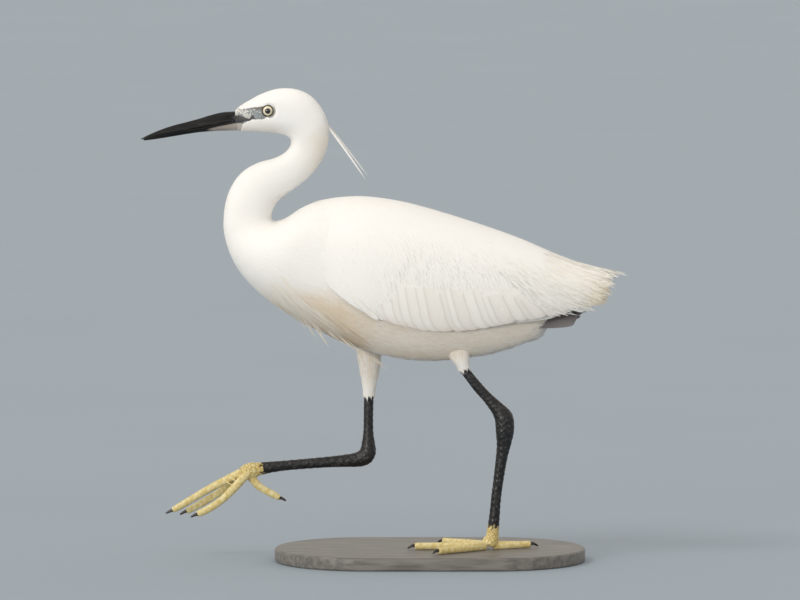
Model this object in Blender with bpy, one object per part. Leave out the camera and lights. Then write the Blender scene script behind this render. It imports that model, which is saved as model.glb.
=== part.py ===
"""A little egret as a still, life-size model: it stands on its left leg and holds the right foot out.

Metres. +Z is up and the bird faces -X, so its left side is -Y. The origin is the middle of the
underside of the flat base. The flesh of the head, neck and body is one lofted form, cut into nodes
with a thin gap between them. Feathers are closed vanes laid over an envelope round the body.
"""

import math

import bmesh
import bpy
from mathutils import Matrix, Vector

# Gap between neighbouring nodes.
GAP = 0.0003

# Base.
BASE_LENGTH = 0.280
BASE_WIDTH = 0.170
BASE_THICK = 0.012
BASE_BEVEL = 0.002

# Head.
EYE_X = -0.1456
EYE_Z = 0.4075
EYE_Y = 0.0094
EYE_RADIUS = 0.0052
LID_RADIUS = 0.0046
LID_THICK = 0.0009
BODY_POWER = 2.15
ENVELOPE_POWER = 2.2

# Body sections from the brow to the root of the tail: name, point on the back edge and point on the
# front or lower edge (x, z), and half the width across.
SECTIONS = (
    ("brow", (-0.1719, 0.4103), (-0.1701, 0.3882), 0.0075),
    ("lores", (-0.1629, 0.4157), (-0.1620, 0.3882), 0.0100),
    ("eye", (-0.1512, 0.4219), (-0.1512, 0.3877), 0.0126),
    ("crown", (-0.1368, 0.4264), (-0.1386, 0.3869), 0.0140),
    ("ear", (-0.1215, 0.4262), (-0.1296, 0.3846), 0.0143),
    ("nape_top", (-0.1080, 0.4206), (-0.1255, 0.3815), 0.0140),
    ("nape", (-0.0981, 0.4098), (-0.1246, 0.3783), 0.0134),
    ("nape_low", (-0.0922, 0.3963), (-0.1255, 0.3747), 0.0128),
    ("neck_1", (-0.0914, 0.3819), (-0.1283, 0.3706), 0.0122),
    ("neck_2", (-0.0940, 0.3693), (-0.1336, 0.3666), 0.0120),
    ("neck_3", (-0.1008, 0.3572), (-0.1417, 0.3632), 0.0122),
    ("neck_4", (-0.1107, 0.3459), (-0.1521, 0.3605), 0.0128),
    ("neck_5", (-0.1215, 0.3373), (-0.1624, 0.3558), 0.0136),
    ("neck_6", (-0.1314, 0.3306), (-0.1714, 0.3486), 0.0145),
    ("neck_7", (-0.1381, 0.3243), (-0.1787, 0.3378), 0.0155),
    ("neck_8", (-0.1417, 0.3175), (-0.1832, 0.3256), 0.0165),
    ("neck_9", (-0.1431, 0.3113), (-0.1851, 0.3135), 0.0175),
    ("neck_foot", (-0.1413, 0.3068), (-0.1854, 0.3009), 0.0195),
    ("breast_1", (-0.1368, 0.3060), (-0.1832, 0.2888), 0.0230),
    ("breast_2", (-0.1309, 0.3085), (-0.1791, 0.2766), 0.0280),
    ("breast_3", (-0.1242, 0.3130), (-0.1724, 0.2645), 0.0330),
    ("breast_4", (-0.1161, 0.3185), (-0.1633, 0.2527), 0.0375),
    ("breast_5", (-0.1062, 0.3230), (-0.1512, 0.2411), 0.0410),
    ("shoulder", (-0.0945, 0.3261), (-0.1350, 0.2289), 0.0425),
    ("back_1", (-0.0810, 0.3279), (-0.1152, 0.2167), 0.0435),
    ("back_2", (-0.0657, 0.3283), (-0.0918, 0.2055), 0.0450),
    ("back_3", (-0.0486, 0.3272), (-0.0666, 0.1947), 0.0460),
    ("back_4", (-0.0297, 0.3247), (-0.0396, 0.1866), 0.0460),
    ("back_5", (-0.0099, 0.3198), (-0.0126, 0.1826), 0.0455),
    ("back_6", (0.0099, 0.3140), (0.0126, 0.1826), 0.0435),
    ("flank_1", (0.0297, 0.3067), (0.0360, 0.1852), 0.0400),
    ("flank_2", (0.0495, 0.2972), (0.0576, 0.1893), 0.0345),
    ("flank_3", (0.0684, 0.2850), (0.0756, 0.1947), 0.0275),
    ("rump_1", (0.0846, 0.2715), (0.0900, 0.2001), 0.0200),
    ("rump_2", (0.0972, 0.2580), (0.0999, 0.2050), 0.0135),
    ("rump_3", (0.1080, 0.2440), (0.1062, 0.2150), 0.0080),
)
NAMES = [row[0] for row in SECTIONS]

# Envelope of the folded wings and long plumes: x, top z, bottom z, half the width.
ENVELOPE = (
    (-0.1150, 0.3200, 0.2240, 0.0330),
    (-0.0936, 0.3261, 0.2109, 0.0430),
    (-0.0720, 0.3288, 0.2001, 0.0490),
    (-0.0540, 0.3285, 0.1929, 0.0510),
    (-0.0270, 0.3246, 0.1844, 0.0515),
    (0.0000, 0.3178, 0.1821, 0.0505),
    (0.0270, 0.3096, 0.1839, 0.0480),
    (0.0540, 0.3008, 0.1893, 0.0440),
    (0.0810, 0.2910, 0.1965, 0.0385),
    (0.1080, 0.2795, 0.2055, 0.0320),
    (0.1350, 0.2694, 0.2163, 0.0250),
    (0.1530, 0.2648, 0.2217, 0.0190),
    (0.1692, 0.2600, 0.2280, 0.0120),
    (0.1860, 0.2550, 0.2330, 0.0080),
)

# Outline of the wing patch on the envelope: x, angle of the upper edge and of the lower edge,
# counted in degrees from the line of the back.
WING_PATCH = (
    (-0.0960, 84.0, 93.0),
    (-0.0870, 66.0, 101.0),
    (-0.0720, 56.0, 109.0),
    (-0.0495, 49.0, 116.0),
    (-0.0270, 44.0, 119.0),
    (0.0000, 39.0, 121.0),
    (0.0270, 37.0, 121.0),
    (0.0540, 38.0, 119.0),
    (0.0810, 42.0, 115.0),
    (0.1050, 54.0, 110.0),
    (0.1300, 74.0, 104.0),
)

# Tiers of each wing: name, count, first root, last root, first tip, last tip (x, angle), width,
# thickness, lift of the roots and of the tips above the envelope, depth of the underside.
WING_TIERS = (
    (
        "primaries", 4, (0.0300, 110), (0.0300, 102), (0.1290, 117), (0.1560, 102),
        0.0130, 0.0009, -0.0050, -0.0030, 0.001,
    ),
    (
        "secondaries", 7, (-0.0045, 88), (0.0600, 62), (0.0200, 125), (0.1540, 90),
        0.0210, 0.0009, -0.0050, -0.0018, 0.002,
    ),
    (
        "greater coverts", 6, (-0.0640, 66), (0.0300, 48), (-0.0440, 119), (0.0980, 107),
        0.0230, 0.0009, -0.0070, -0.0007, 0.003,
    ),
    (
        "median coverts", 5, (-0.0830, 72), (0.0020, 42), (-0.0680, 110), (0.0540, 88),
        0.0220, 0.0009, -0.0075, 0.0001, 0.003,
    ),
    (
        "tertials", 4, (0.0200, 56), (0.0380, 40), (0.1660, 80), (0.1500, 42),
        0.0180, 0.0009, -0.0060, 0.0004, 0.001,
    ),
    (
        "leading edge", 1, (-0.0930, 91), (-0.0930, 91), (-0.0260, 121), (-0.0260, 121),
        0.0110, 0.0012, -0.0050, 0.0004, 0.002,
    ),
)

# Plumes of the back on each side, rooted in the body between the wings.
BACK_TIERS = (
    (
        "scapulars", 4, (-0.0560, 32), (0.0120, 16), (0.0060, 60), (0.0950, 30),
        0.0170, 0.0010, -0.0060, 0.0024, 0.0,
    ),
    (
        "back plumes", 8, (-0.0200, 28), (0.0300, 8), (0.1330, 112), (0.1790, 16),
        0.0042, 0.0012, -0.0075, 0.0036, 0.0,
    ),
)

# Toes of the standing foot on the base (x, y), then the tip of the claw.
LEFT_TOES = {
    "inner": (((0.0475, -0.0078), (0.0350, 0.0030), (0.0230, 0.0130), (0.0130, 0.0205)), (0.0070, 0.0250)),
    "middle": (((0.0475, -0.0138), (0.0280, -0.0160), (0.0080, -0.0176), (-0.0120, -0.0185)), (-0.0200, -0.0188)),
    "outer": (((0.0485, -0.0197), (0.0360, -0.0320), (0.0220, -0.0445), (0.0085, -0.0555)), (0.0025, -0.0605)),
    "hind": (((0.0590, -0.0125), (0.0700, -0.0100), (0.0800, -0.0066), (0.0895, -0.0034)), (0.0975, -0.0005)),
}

# Toes of the raised foot, then the tip of the claw.
RIGHT_TOES = {
    "middle": (
        (
            (-0.1690, 0.0203, 0.0785),
            (-0.1845, 0.0216, 0.0705),
            (-0.1985, 0.0226, 0.0632),
            (-0.2120, 0.0232, 0.0552),
            (-0.2228, 0.0234, 0.0487),
            (-0.2316, 0.0236, 0.0436),
        ),
        (-0.2392, 0.0238, 0.0410),
    ),
    "outer": (
        (
            (-0.1675, 0.0263, 0.0750),
            (-0.1800, 0.0320, 0.0664),
            (-0.1913, 0.0358, 0.0574),
            (-0.2070, 0.0388, 0.0476),
            (-0.2190, 0.0402, 0.0410),
        ),
        (-0.2268, 0.0412, 0.0376),
    ),
    "inner": (
        (
            (-0.1675, 0.0142, 0.0745),
            (-0.1775, 0.0086, 0.0640),
            (-0.1885, 0.0040, 0.0540),
            (-0.2000, 0.0008, 0.0466),
            (-0.2088, -0.0010, 0.0426),
        ),
        (-0.2158, -0.0020, 0.0402),
    ),
    "hind": (
        (
            (-0.1620, 0.0196, 0.0745),
            (-0.1560, 0.0192, 0.0668),
            (-0.1495, 0.0188, 0.0622),
            (-0.1425, 0.0186, 0.0584),
            (-0.1366, 0.0184, 0.0554),
        ),
        (-0.1297, 0.0180, 0.0528),
    ),
}
TOE_RADII = (0.0026, 0.0029, 0.0031, 0.0027, 0.0028, 0.0024)


def mix(a, b, t):
    return a + (b - a) * t


def smooth_mix(rows, place):
    """Values of a table of rows at a fractional place, on a curve through the rows."""
    place = min(max(place, 0.0), len(rows) - 1.0)
    i = min(int(place), len(rows) - 2)
    t = place - i
    p1, p2 = rows[i], rows[i + 1]
    p0 = rows[i - 1] if i > 0 else [2 * a - b for a, b in zip(p1, p2)]
    p3 = rows[i + 2] if i + 2 < len(rows) else [2 * b - a for a, b in zip(p1, p2)]
    out = []
    for a, b, c, d in zip(p0, p1, p2, p3):
        out.append(
            0.5 * (2 * b + (c - a) * t + (2 * a - 5 * b + 4 * c - d) * t * t + (3 * b - a - 3 * c + d) * t ** 3)
        )
    return out


FLAT_SECTIONS = [(row[1][0], row[1][1], row[2][0], row[2][1], row[3]) for row in SECTIONS]


def power(value, exponent):
    return math.copysign(abs(value) ** exponent, value)


def body_ring(place, around, grow=0.0, along=0.0):
    """Ring of points round the body at a fractional section, grown outwards and moved along the body."""
    tx, tz, vx, vz, half = smooth_mix(FLAT_SECTIONS, place)
    top, low = Vector((tx, 0, tz)), Vector((vx, 0, vz))
    up = (top - low).normalized()
    forward = Vector((-up.z, 0, up.x)) * -1.0
    middle = (top + low) / 2 + forward * along
    tall = (top - low).length / 2 + grow
    points = []
    for i in range(around):
        turn = 2 * math.pi * i / around
        rise = power(math.cos(turn), 2 / BODY_POWER) * tall
        side = power(math.sin(turn), 2 / BODY_POWER) * (half + grow)
        points.append(middle + up * rise + Vector((0, side, 0)))
    return points


def mesh_object(name, rings):
    """Closed mesh from rings of equal count, with a fan over each end."""
    bm = bmesh.new()
    loops = [[bm.verts.new(p) for p in ring] for ring in rings]
    count = len(rings[0])
    for a, b in zip(loops, loops[1:]):
        for i in range(count):
            j = (i + 1) % count
            bm.faces.new((a[i], a[j], b[j]))
            bm.faces.new((a[i], b[j], b[i]))
    for loop in (loops[0], loops[-1]):
        hub = bm.verts.new(sum((v.co for v in loop), Vector()) / count)
        for i in range(count):
            bm.faces.new((loop[i], loop[(i + 1) % count], hub))
    return object_of(name, bm)


def object_of(name, bm):
    bmesh.ops.recalc_face_normals(bm, faces=bm.faces)
    if bm.calc_volume(signed=True) < 0:
        bmesh.ops.reverse_faces(bm, faces=bm.faces)
    mesh = bpy.data.meshes.new(name)
    bm.to_mesh(mesh)
    bm.free()
    piece = bpy.data.objects.new(name, mesh)
    bpy.context.scene.collection.objects.link(piece)
    return piece


def drop(piece):
    bpy.data.objects.remove(piece, do_unlink=True)


def combine(target, pieces, operation):
    """One Boolean of the target with every piece, applied, after which the pieces are removed."""
    if not pieces:
        return target
    group = bpy.data.collections.new("pieces")
    bpy.context.scene.collection.children.link(group)
    for piece in pieces:
        bpy.context.scene.collection.objects.unlink(piece)
        group.objects.link(piece)
    joint = target.modifiers.new("joint", "BOOLEAN")
    joint.operation = operation
    joint.operand_type = "COLLECTION"
    joint.collection = group
    joint.solver = "MANIFOLD"
    graph = bpy.context.evaluated_depsgraph_get()
    made = bpy.data.meshes.new_from_object(target.evaluated_get(graph))
    target.modifiers.clear()
    target.data = made
    for piece in list(group.objects):
        drop(piece)
    bpy.data.collections.remove(group)
    return target


def keep_largest(piece):
    """Leave only the closed surface with the largest volume."""
    bm = bmesh.new()
    bm.from_mesh(piece.data)
    left = set(bm.verts)
    parts = []
    while left:
        found = {left.pop()}
        edge = list(found)
        while edge:
            vert = edge.pop()
            for link in vert.link_edges:
                other = link.other_vert(vert)
                if other not in found:
                    found.add(other)
                    edge.append(other)
        left -= found
        volume = 0.0
        for face in {f for v in found for f in v.link_faces}:
            corners = [v.co for v in face.verts]
            for a, b in zip(corners[1:], corners[2:]):
                volume += corners[0].dot(a.cross(b)) / 6
        parts.append((volume, found))
    parts.sort(key=lambda item: -item[0])
    spare = [v for _, found in parts[1:] for v in found]
    bmesh.ops.delete(bm, geom=spare, context="VERTS")
    bm.to_mesh(piece.data)
    bm.free()
    return piece


def finish(piece, material, smooth=True):
    piece.data.materials.clear()
    piece.data.materials.append(material)
    for face in piece.data.polygons:
        face.use_smooth = smooth
    return piece


def material(name, color, roughness):
    made = bpy.data.materials.new(name)
    made.use_nodes = True
    shader = made.node_tree.nodes["Principled BSDF"]
    shader.inputs["Base Color"].default_value = (*color, 1)
    shader.inputs["Roughness"].default_value = roughness
    made.diffuse_color = (*color, 1)
    return made


def clear_scene():
    for piece in list(bpy.data.objects):
        bpy.data.objects.remove(piece, do_unlink=True)


# Body lengths


def body_length(name, start, end, rings, around, grow=0.0, gap=GAP / 2):
    """A length of the body between two named sections, with half the gap left at each end."""
    first, last = NAMES.index(start), NAMES.index(end)
    loops = []
    for i in range(rings + 1):
        place = mix(first, last, i / rings)
        along = gap if i == 0 else -gap if i == rings else 0.0
        loops.append(body_ring(place, around, grow, along))
    return mesh_object(name, loops)


# Envelope and vanes


def envelope_at(x):
    for i in range(len(ENVELOPE) - 2):
        if x <= ENVELOPE[i + 1][0]:
            break
    else:
        i = len(ENVELOPE) - 2
    a, b = ENVELOPE[i], ENVELOPE[i + 1]
    place = i + (x - a[0]) / (b[0] - a[0])
    return smooth_mix([row[1:] for row in ENVELOPE], place)


def envelope_point(x, angle, lift, side):
    """Point over the folded wings at this x, at an angle from the line of the back."""
    top, low, half = envelope_at(x)
    turn = math.radians(angle)
    rise = power(math.cos(turn), 2 / ENVELOPE_POWER) * ((top - low) / 2 + lift)
    out = power(math.sin(turn), 2 / ENVELOPE_POWER) * (half + lift)
    return Vector((x, side * out, (top + low) / 2 + rise))


def envelope_normal(x, angle, side):
    step = envelope_point(x + 0.001, angle, 0, side) - envelope_point(x - 0.001, angle, 0, side)
    turn = envelope_point(x, angle + 2, 0, side) - envelope_point(x, angle - 2, 0, side)
    normal = step.cross(turn).normalized()
    return normal if normal.y * side > 0 or (abs(normal.y) < 0.2 and normal.z > 0) else -normal


def vane(name, path, normals, widths, thick, edge, roll=0.0, deep=None):
    """Closed feather: a strip with a raised middle line along the path.

    Where it lies on the wing its underside can be sunk by a depth for each point of the path.
    """
    rings = []
    last = len(path) - 1
    for i, point in enumerate(path):
        along = (path[min(i + 1, last)] - path[max(i - 1, 0)]).normalized()
        across = along.cross(normals[i]).normalized()
        over = across.cross(along).normalized()
        turned = across * math.cos(roll) + over * math.sin(roll)
        over = over * math.cos(roll) - across * math.sin(roll)
        half = widths[i] / 2
        under = edge / 2 + (deep[i] if deep else 0.0)
        rings.append(
            [
                point - turned * half + over * edge / 2,
                point + over * thick / 2,
                point + turned * half + over * edge / 2,
                point + turned * half - over * under,
                point - turned * half - over * under,
            ]
        )
    return mesh_object(name, rings)


def vane_width(t, slender):
    """Share of the full width along a feather, from its root at 0 to its tip at 1."""
    if slender:
        return mix(0.6, 1.0, t / 0.4) if t < 0.4 else mix(1.0, 0.3, (t - 0.4) / 0.6)
    rise = 0.55 + 0.45 * min(t / 0.3, 1.0)
    return rise if t < 0.75 else mix(1.0, 0.3, ((t - 0.75) / 0.25) ** 2)


def tier(row, side, steps=3, slender=False, bow=0.0, roll=0.09, rise=2.6):
    """A tier of overlapping vanes over the envelope, from the first to the last."""
    name, count, root_a, root_b, tip_a, tip_b, width, thick, low, high, sunk = row
    made = []
    for n in range(count):
        share = n / (count - 1) if count > 1 else 0.0
        root = [mix(a, b, share) for a, b in zip(root_a, root_b)]
        tip = [mix(a, b, share) for a, b in zip(tip_a, tip_b)]
        vary = math.sin(2.4 * n + 1.7 * count)
        path, normals, widths, deep = [], [], [], []
        stations = [i / steps for i in range(steps + 1)] if slender else (0.0, 0.35, 0.72, 0.92, 1.0)
        for t in stations:
            deep.append(sunk * (1.0 if t < 0.8 else (1.0 - t) * 2.0))
            x = mix(root[0], tip[0] + 0.002 * vary, t)
            angle = mix(root[1], tip[1], t) + bow * math.sin(math.pi * t)
            lift = mix(low, high, min(1.0, t * rise)) + 0.0002 * n
            path.append(envelope_point(x, angle, lift, side))
            normals.append(envelope_normal(x, angle, side))
            widths.append(width * vane_width(t, slender) * (1 + 0.05 * vary))
        made.append(vane(f"{name} {n}", path, normals, widths, thick, 0.0006, -roll * side, deep))
    return made


# Nodes of the head


def make_head(coat):
    head = body_length("head", "brow", "neck_1", 14, 20)
    lids, sockets = [], []
    for side in (-1, 1):
        lids.append(lid_ring(side))
        sockets.append(ball("socket", (EYE_X, side * EYE_Y, EYE_Z), EYE_RADIUS + GAP * 1.3, 14, 8))
    combine(head, lids + nape_plumes(), "UNION")
    combine(head, sockets + mouth_lines(), "DIFFERENCE")
    return finish(keep_largest(head), coat)


def ball(name, centre, radius, around, rows):
    bm = bmesh.new()
    bmesh.ops.create_uvsphere(bm, u_segments=around, v_segments=rows, radius=radius)
    bmesh.ops.rotate(bm, verts=bm.verts, cent=(0, 0, 0), matrix=Matrix.Rotation(math.pi / 2, 3, "X"))
    bmesh.ops.translate(bm, verts=bm.verts, vec=centre)
    bmesh.ops.triangulate(bm, faces=bm.faces)
    return object_of(name, bm)


def lid_ring(side):
    """Ring of bare skin round the eye."""
    rings, around, small = [], 14, 5
    for i in range(around):
        a = 2 * math.pi * i / around
        out = Vector((math.cos(a), 0, math.sin(a)))
        centre = Vector((EYE_X, side * 0.0127, EYE_Z)) + out * LID_RADIUS
        ring = []
        for j in range(small):
            b = 2 * math.pi * j / small
            ring.append(centre + (out * math.cos(b) + Vector((0, side * math.sin(b), 0))) * LID_THICK)
        rings.append(ring)
    return closed_loop("lid", rings)


def closed_loop(name, rings):
    bm = bmesh.new()
    loops = [[bm.verts.new(p) for p in ring] for ring in rings]
    count = len(rings[0])
    for k, a in enumerate(loops):
        b = loops[(k + 1) % len(loops)]
        for i in range(count):
            j = (i + 1) % count
            bm.faces.new((a[i], a[j], b[j]))
            bm.faces.new((a[i], b[j], b[i]))
    return object_of(name, bm)


def mouth_lines():
    """Two shallow wedges for the corner of the mouth, from the bill to below the eye."""
    made = []
    for side in (-1, 1):
        rings = []
        for x, z, half, outer, inner in (
            (-0.1740, 0.3977, 0.0005, 0.0120, 0.0060),
            (-0.1640, 0.3994, 0.0005, 0.0120, 0.0087),
            (-0.1560, 0.4004, 0.0004, 0.0135, 0.0108),
            (-0.1480, 0.4006, 0.0003, 0.0145, 0.0122),
        ):
            rings.append(
                [
                    Vector((x, side * inner, z)),
                    Vector((x, side * outer, z + half)),
                    Vector((x, side * outer, z - half)),
                ]
            )
        made.append(mesh_object("mouth line", rings))
    return made


def nape_plumes():
    """Two long narrow plumes that hang from the nape."""
    made = []
    for side, tip in ((-1, (-0.0574, 0.3448)), (1, (-0.0552, 0.3480))):
        root = Vector((-0.0975, side * 0.0015, 0.4020))
        middle = Vector((-0.0800, side * 0.0040, 0.3790))
        end = Vector((tip[0], side * 0.0045, tip[1]))
        path = []
        for i in range(6):
            t = i / 5
            path.append(root * (1 - t) ** 2 + middle * 2 * t * (1 - t) + end * t * t)
        widths = [0.0022, 0.0026, 0.0028, 0.0026, 0.0020, 0.0010]
        normals = [Vector((0.15, side, 0.1)).normalized()] * 6
        made.append(vane("nape plume", path, normals, widths, 0.0011, 0.0007))
    return made


def make_bill_upper(horn):
    """Upper half of the dagger bill: x, top z, lower z, half width at the root, tapering to the tip."""
    rows = (
        (-0.17205, 0.4078, 0.3980, 0.0062),
        (-0.1764, 0.4062, 0.3972, 0.0058),
        (-0.1872, 0.4053, 0.3951, 0.0051),
        (-0.1980, 0.4026, 0.3931, 0.0044),
        (-0.2088, 0.3993, 0.3911, 0.0038),
        (-0.2196, 0.3964, 0.3891, 0.0032),
        (-0.2304, 0.3936, 0.3871, 0.0025),
        (-0.2412, 0.3900, 0.3851, 0.0018),
        (-0.2520, 0.3855, 0.3830, 0.0011),
        (-0.2598, 0.3816, 0.3808, 0.0005),
    )
    bill = mesh_object("bill_upper", [bill_ring(row, 1.0) for row in rows])
    slits = []
    for side in (-1, 1):
        rings = []
        for x, z, half in ((-0.1745, 0.4030, 0.0002), (-0.1780, 0.4030, 0.0006), (-0.1815, 0.4026, 0.0002)):
            rings.append(
                [
                    Vector((x, side * 0.0036, z + half)),
                    Vector((x, side * 0.0080, z + half)),
                    Vector((x, side * 0.0080, z - half)),
                    Vector((x, side * 0.0036, z - half)),
                ]
            )
        slits.append(mesh_object("nostril", rings))
    combine(bill, slits, "DIFFERENCE")
    return finish(keep_largest(bill), horn)


def make_bill_lower(horn):
    rows = (
        (-0.17185, 0.3977, 0.3892, 0.0063),
        (-0.1764, 0.3969, 0.3890, 0.0058),
        (-0.1872, 0.3948, 0.3888, 0.0051),
        (-0.1980, 0.3928, 0.3882, 0.0044),
        (-0.2088, 0.3908, 0.3872, 0.0038),
        (-0.2196, 0.3888, 0.3856, 0.0031),
        (-0.2304, 0.3868, 0.3838, 0.0024),
        (-0.2412, 0.3848, 0.3820, 0.0017),
        (-0.2520, 0.3827, 0.3805, 0.0010),
        (-0.2575, 0.3811, 0.3800, 0.0005),
    )
    return finish(mesh_object("bill_lower", [bill_ring(row, -1.0) for row in rows]), horn)


def bill_ring(row, up):
    """Half oval: flat on the side where the two halves of the bill meet."""
    x, top, low, half = row
    flat, crown = (low, top) if up > 0 else (top, low)
    points = []
    for i in range(9):
        turn = math.pi * i / 8
        points.append(Vector((x, half * math.cos(turn), flat + (crown - flat) * math.sin(turn) ** 0.85)))
    points.append(Vector((x, 0, flat)))
    return points


def make_eyes(glass):
    for side, name in ((-1, "eye_left"), (1, "eye_right")):
        eye = ball(name, (EYE_X, side * EYE_Y, EYE_Z), EYE_RADIUS, 14, 8)
        finish(eye, glass)


# Torso, wings and tail


def breast_plumes():
    """Long narrow plumes of the lower breast that hang over the belly and the raised thigh."""
    made = []
    for n in range(9):
        share = n / 8
        y = (-0.020, -0.016, -0.012, -0.008, -0.004, 0.0, 0.003, 0.006, 0.009)[(n * 4) % 9]
        side = 1 if y > 0 else -1
        start = Vector((mix(-0.1300, -0.1080, share), y * 0.8, mix(0.2420, 0.2310, share)))
        middle = Vector((mix(-0.1000, -0.0800, share), y, mix(0.2140, 0.2040, share)))
        end = Vector((mix(-0.0720, -0.0430, share), y, mix(0.1900, 0.1800, share)))
        path, normals, widths = [], [], []
        for i in range(5):
            t = i / 4
            path.append(start * (1 - t) ** 2 + middle * 2 * t * (1 - t) + end * t * t)
            normals.append(Vector((-0.4, side * 0.8, -0.4)).normalized())
            widths.append(0.0065 * (1.0, 1.0, 0.9, 0.65, 0.25)[i])
        made.append(vane(f"breast plume {n}", path, normals, widths, 0.0012, 0.0007))
    return made


def make_torso(coat):
    torso = body_length("torso", "breast_2", "rump_3", 20, 24)
    plumes = breast_plumes()
    for side in (-1, 1):
        plumes += tier(BACK_TIERS[0], side, steps=5, rise=3.2)
        plumes += tier(BACK_TIERS[1], side, steps=5, slender=True, rise=4.0)
    combine(torso, plumes, "UNION")
    return finish(keep_largest(torso), coat)


def wing_patch(side):
    """Slab on the envelope between the upper and lower edges of the folded wing.

    It rises out of the body along its front and upper edges and stands proud along its lower edge.
    """
    layers = []
    rows = 6
    for n, (x, high, low) in enumerate(WING_PATCH):
        ring = []
        for i in range(rows):
            lift = -0.0065 if n == 0 else -0.0040 if n == 1 else -0.0028
            lift = min(lift, -0.0060 if i == 0 else -0.0028)
            ring.append(envelope_point(x, mix(high, low, i / (rows - 1)), lift, side))
        for i in reversed(range(rows)):
            ring.append(envelope_point(x, mix(high, low, i / (rows - 1)), -0.0110, side))
        layers.append(ring)
    return mesh_object("wing patch", layers)


def make_wing(name, side, coat):
    wing = wing_patch(side)
    vanes = []
    for row in WING_TIERS:
        vanes += tier(row, side)
    combine(wing, vanes, "UNION")
    room = body_length("room", "breast_2", "rump_3", 20, 24, grow=GAP, gap=-GAP)
    combine(wing, [room], "DIFFERENCE")
    wing.name = name
    return finish(keep_largest(wing), coat)


def make_tail(coat):
    """Short square tail: a thin core with six vanes each side of the middle."""
    rings = []
    for x, top, low, half in (
        (0.1090, 0.2420, 0.2170, 0.0078),
        (0.1160, 0.2380, 0.2190, 0.0072),
        (0.1250, 0.2340, 0.2210, 0.0060),
        (0.1350, 0.2300, 0.2230, 0.0045),
    ):
        ring = []
        for i in range(10):
            a = 2 * math.pi * i / 10
            ring.append(Vector((x, half * math.sin(a), (top + low) / 2 + (top - low) / 2 * math.cos(a))))
        rings.append(ring)
    tail = mesh_object("tail", rings)
    vanes = []
    for side in (-1, 1):
        for n in range(6):
            y = side * (0.0010 + 0.0021 * n)
            fall = 0.0016 * n
            path, normals, widths = [], [], []
            for i in range(4):
                t = i / 3
                x = mix(0.1120, 0.1570 - 0.0015 * n, t)
                path.append(Vector((x, mix(y * 0.4, y, t), mix(0.2290, 0.2300, t) - fall * t)))
                normals.append(Vector((0, side * (0.2 + 0.15 * n), 1)).normalized())
                widths.append((0.0060, 0.0085, 0.0090, 0.0060)[i])
            vanes.append(vane(f"tail vane {n}", path, normals, widths, 0.0011, 0.0007))
    combine(tail, vanes, "UNION")
    return finish(keep_largest(tail), coat)


# Legs


def tube(name, points, radii, around=12, squash=0.85, floor=None, first=None, last=None):
    """Round limb along points, narrower from side to side than from front to back.

    The end faces can be turned to a given direction, so that they lie face to face with a neighbour.
    """
    rings = []
    count = len(points)
    points = [Vector(p) for p in points]
    for i, point in enumerate(points):
        along = (points[min(i + 1, count - 1)] - points[max(i - 1, 0)]).normalized()
        if i == 0 and first:
            along = Vector(first).normalized()
            point = point + along * GAP / 2
        if i == count - 1 and last:
            along = Vector(last).normalized()
            point = point - along * GAP / 2
        side = Vector((0, 1, 0))
        side = (side - along * side.dot(along)).normalized()
        front = along.cross(side)
        ring = []
        for k in range(around):
            a = 2 * math.pi * k / around
            p = point + front * math.cos(a) * radii[i] + side * math.sin(a) * radii[i] * squash
            if floor is not None:
                p.z = max(p.z, floor)
            ring.append(p)
        rings.append(ring)
    return mesh_object(name, rings)


def cut_room(piece):
    """Cut a piece back from the body by the width of the gap."""
    room = body_length("room", "breast_2", "rump_3", 20, 24, grow=GAP, gap=-GAP)
    return keep_largest(combine(piece, [room], "DIFFERENCE"))


def make_left_leg(coat, skin, foot_skin, horn):
    thigh = tube(
        "thigh_left",
        [(0.0225, -0.0140, 0.2020), (0.0258, -0.0155, 0.1900), (0.0284, -0.0176, 0.1805), (0.0307, -0.0195, 0.1728)],
        [0.0100, 0.0098, 0.0078, 0.0053],
        14,
        last=(0.65, -0.2, -0.76),
    )
    finish(cut_room(thigh), coat)
    shin = tube(
        "shin_left",
        [
            (0.0307, -0.0195, 0.1728),
            (0.0370, -0.0202, 0.1650),
            (0.0450, -0.0205, 0.1560),
            (0.0530, -0.0206, 0.1480),
            (0.0600, -0.0205, 0.1405),
            (0.0655, -0.0203, 0.1325),
            (0.0673, -0.0202, 0.1255),
        ],
        [0.0044, 0.0042, 0.0042, 0.0046, 0.0062, 0.0080, 0.0084],
        first=(0.65, -0.2, -0.76),
        last=(0.08, 0, -1),
    )
    finish(shin, skin)
    tarsus = tube(
        "tarsus_left",
        [
            (0.0673, -0.0202, 0.1255),
            (0.0674, -0.0201, 0.1180),
            (0.0668, -0.0198, 0.1080),
            (0.0650, -0.0192, 0.0980),
            (0.0622, -0.0182, 0.0800),
            (0.0596, -0.0168, 0.0600),
            (0.0582, -0.0155, 0.0440),
            (0.0566, -0.0143, 0.0280),
            (0.0556, -0.0137, 0.0215),
        ],
        [0.0084, 0.0078, 0.0064, 0.0054, 0.0046, 0.0045, 0.0047, 0.0055, 0.0062],
        first=(0.08, 0, -1),
        last=(-0.15, 0.08, -1),
    )
    finish(tarsus, skin)
    floor = BASE_THICK + GAP
    places = [(0.0556, -0.0137, 0.0215), (0.0542, -0.0133, 0.0182), (0.0532, -0.0131, 0.0150), (0.0532, -0.0131, floor)]
    radii = [0.0064, 0.0076, 0.0080, 0.0074]
    hub = tube("foot_left", places, radii, 16, first=(-0.15, 0.08, -1))
    finish(hub, foot_skin)
    room = [(p[0], p[1], p[2] + lift) for p, lift in zip(places, (0.003, 0, 0, -0.003))]
    for name, (x_y, claw_end) in LEFT_TOES.items():
        path = [Vector((x, y, floor + 0.0030)) for x, y in x_y]
        tip = Vector((claw_end[0], claw_end[1], floor + 0.0006))
        make_toe("left_" + name, path, tip, (room, radii), foot_skin, horn, floor)


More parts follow.
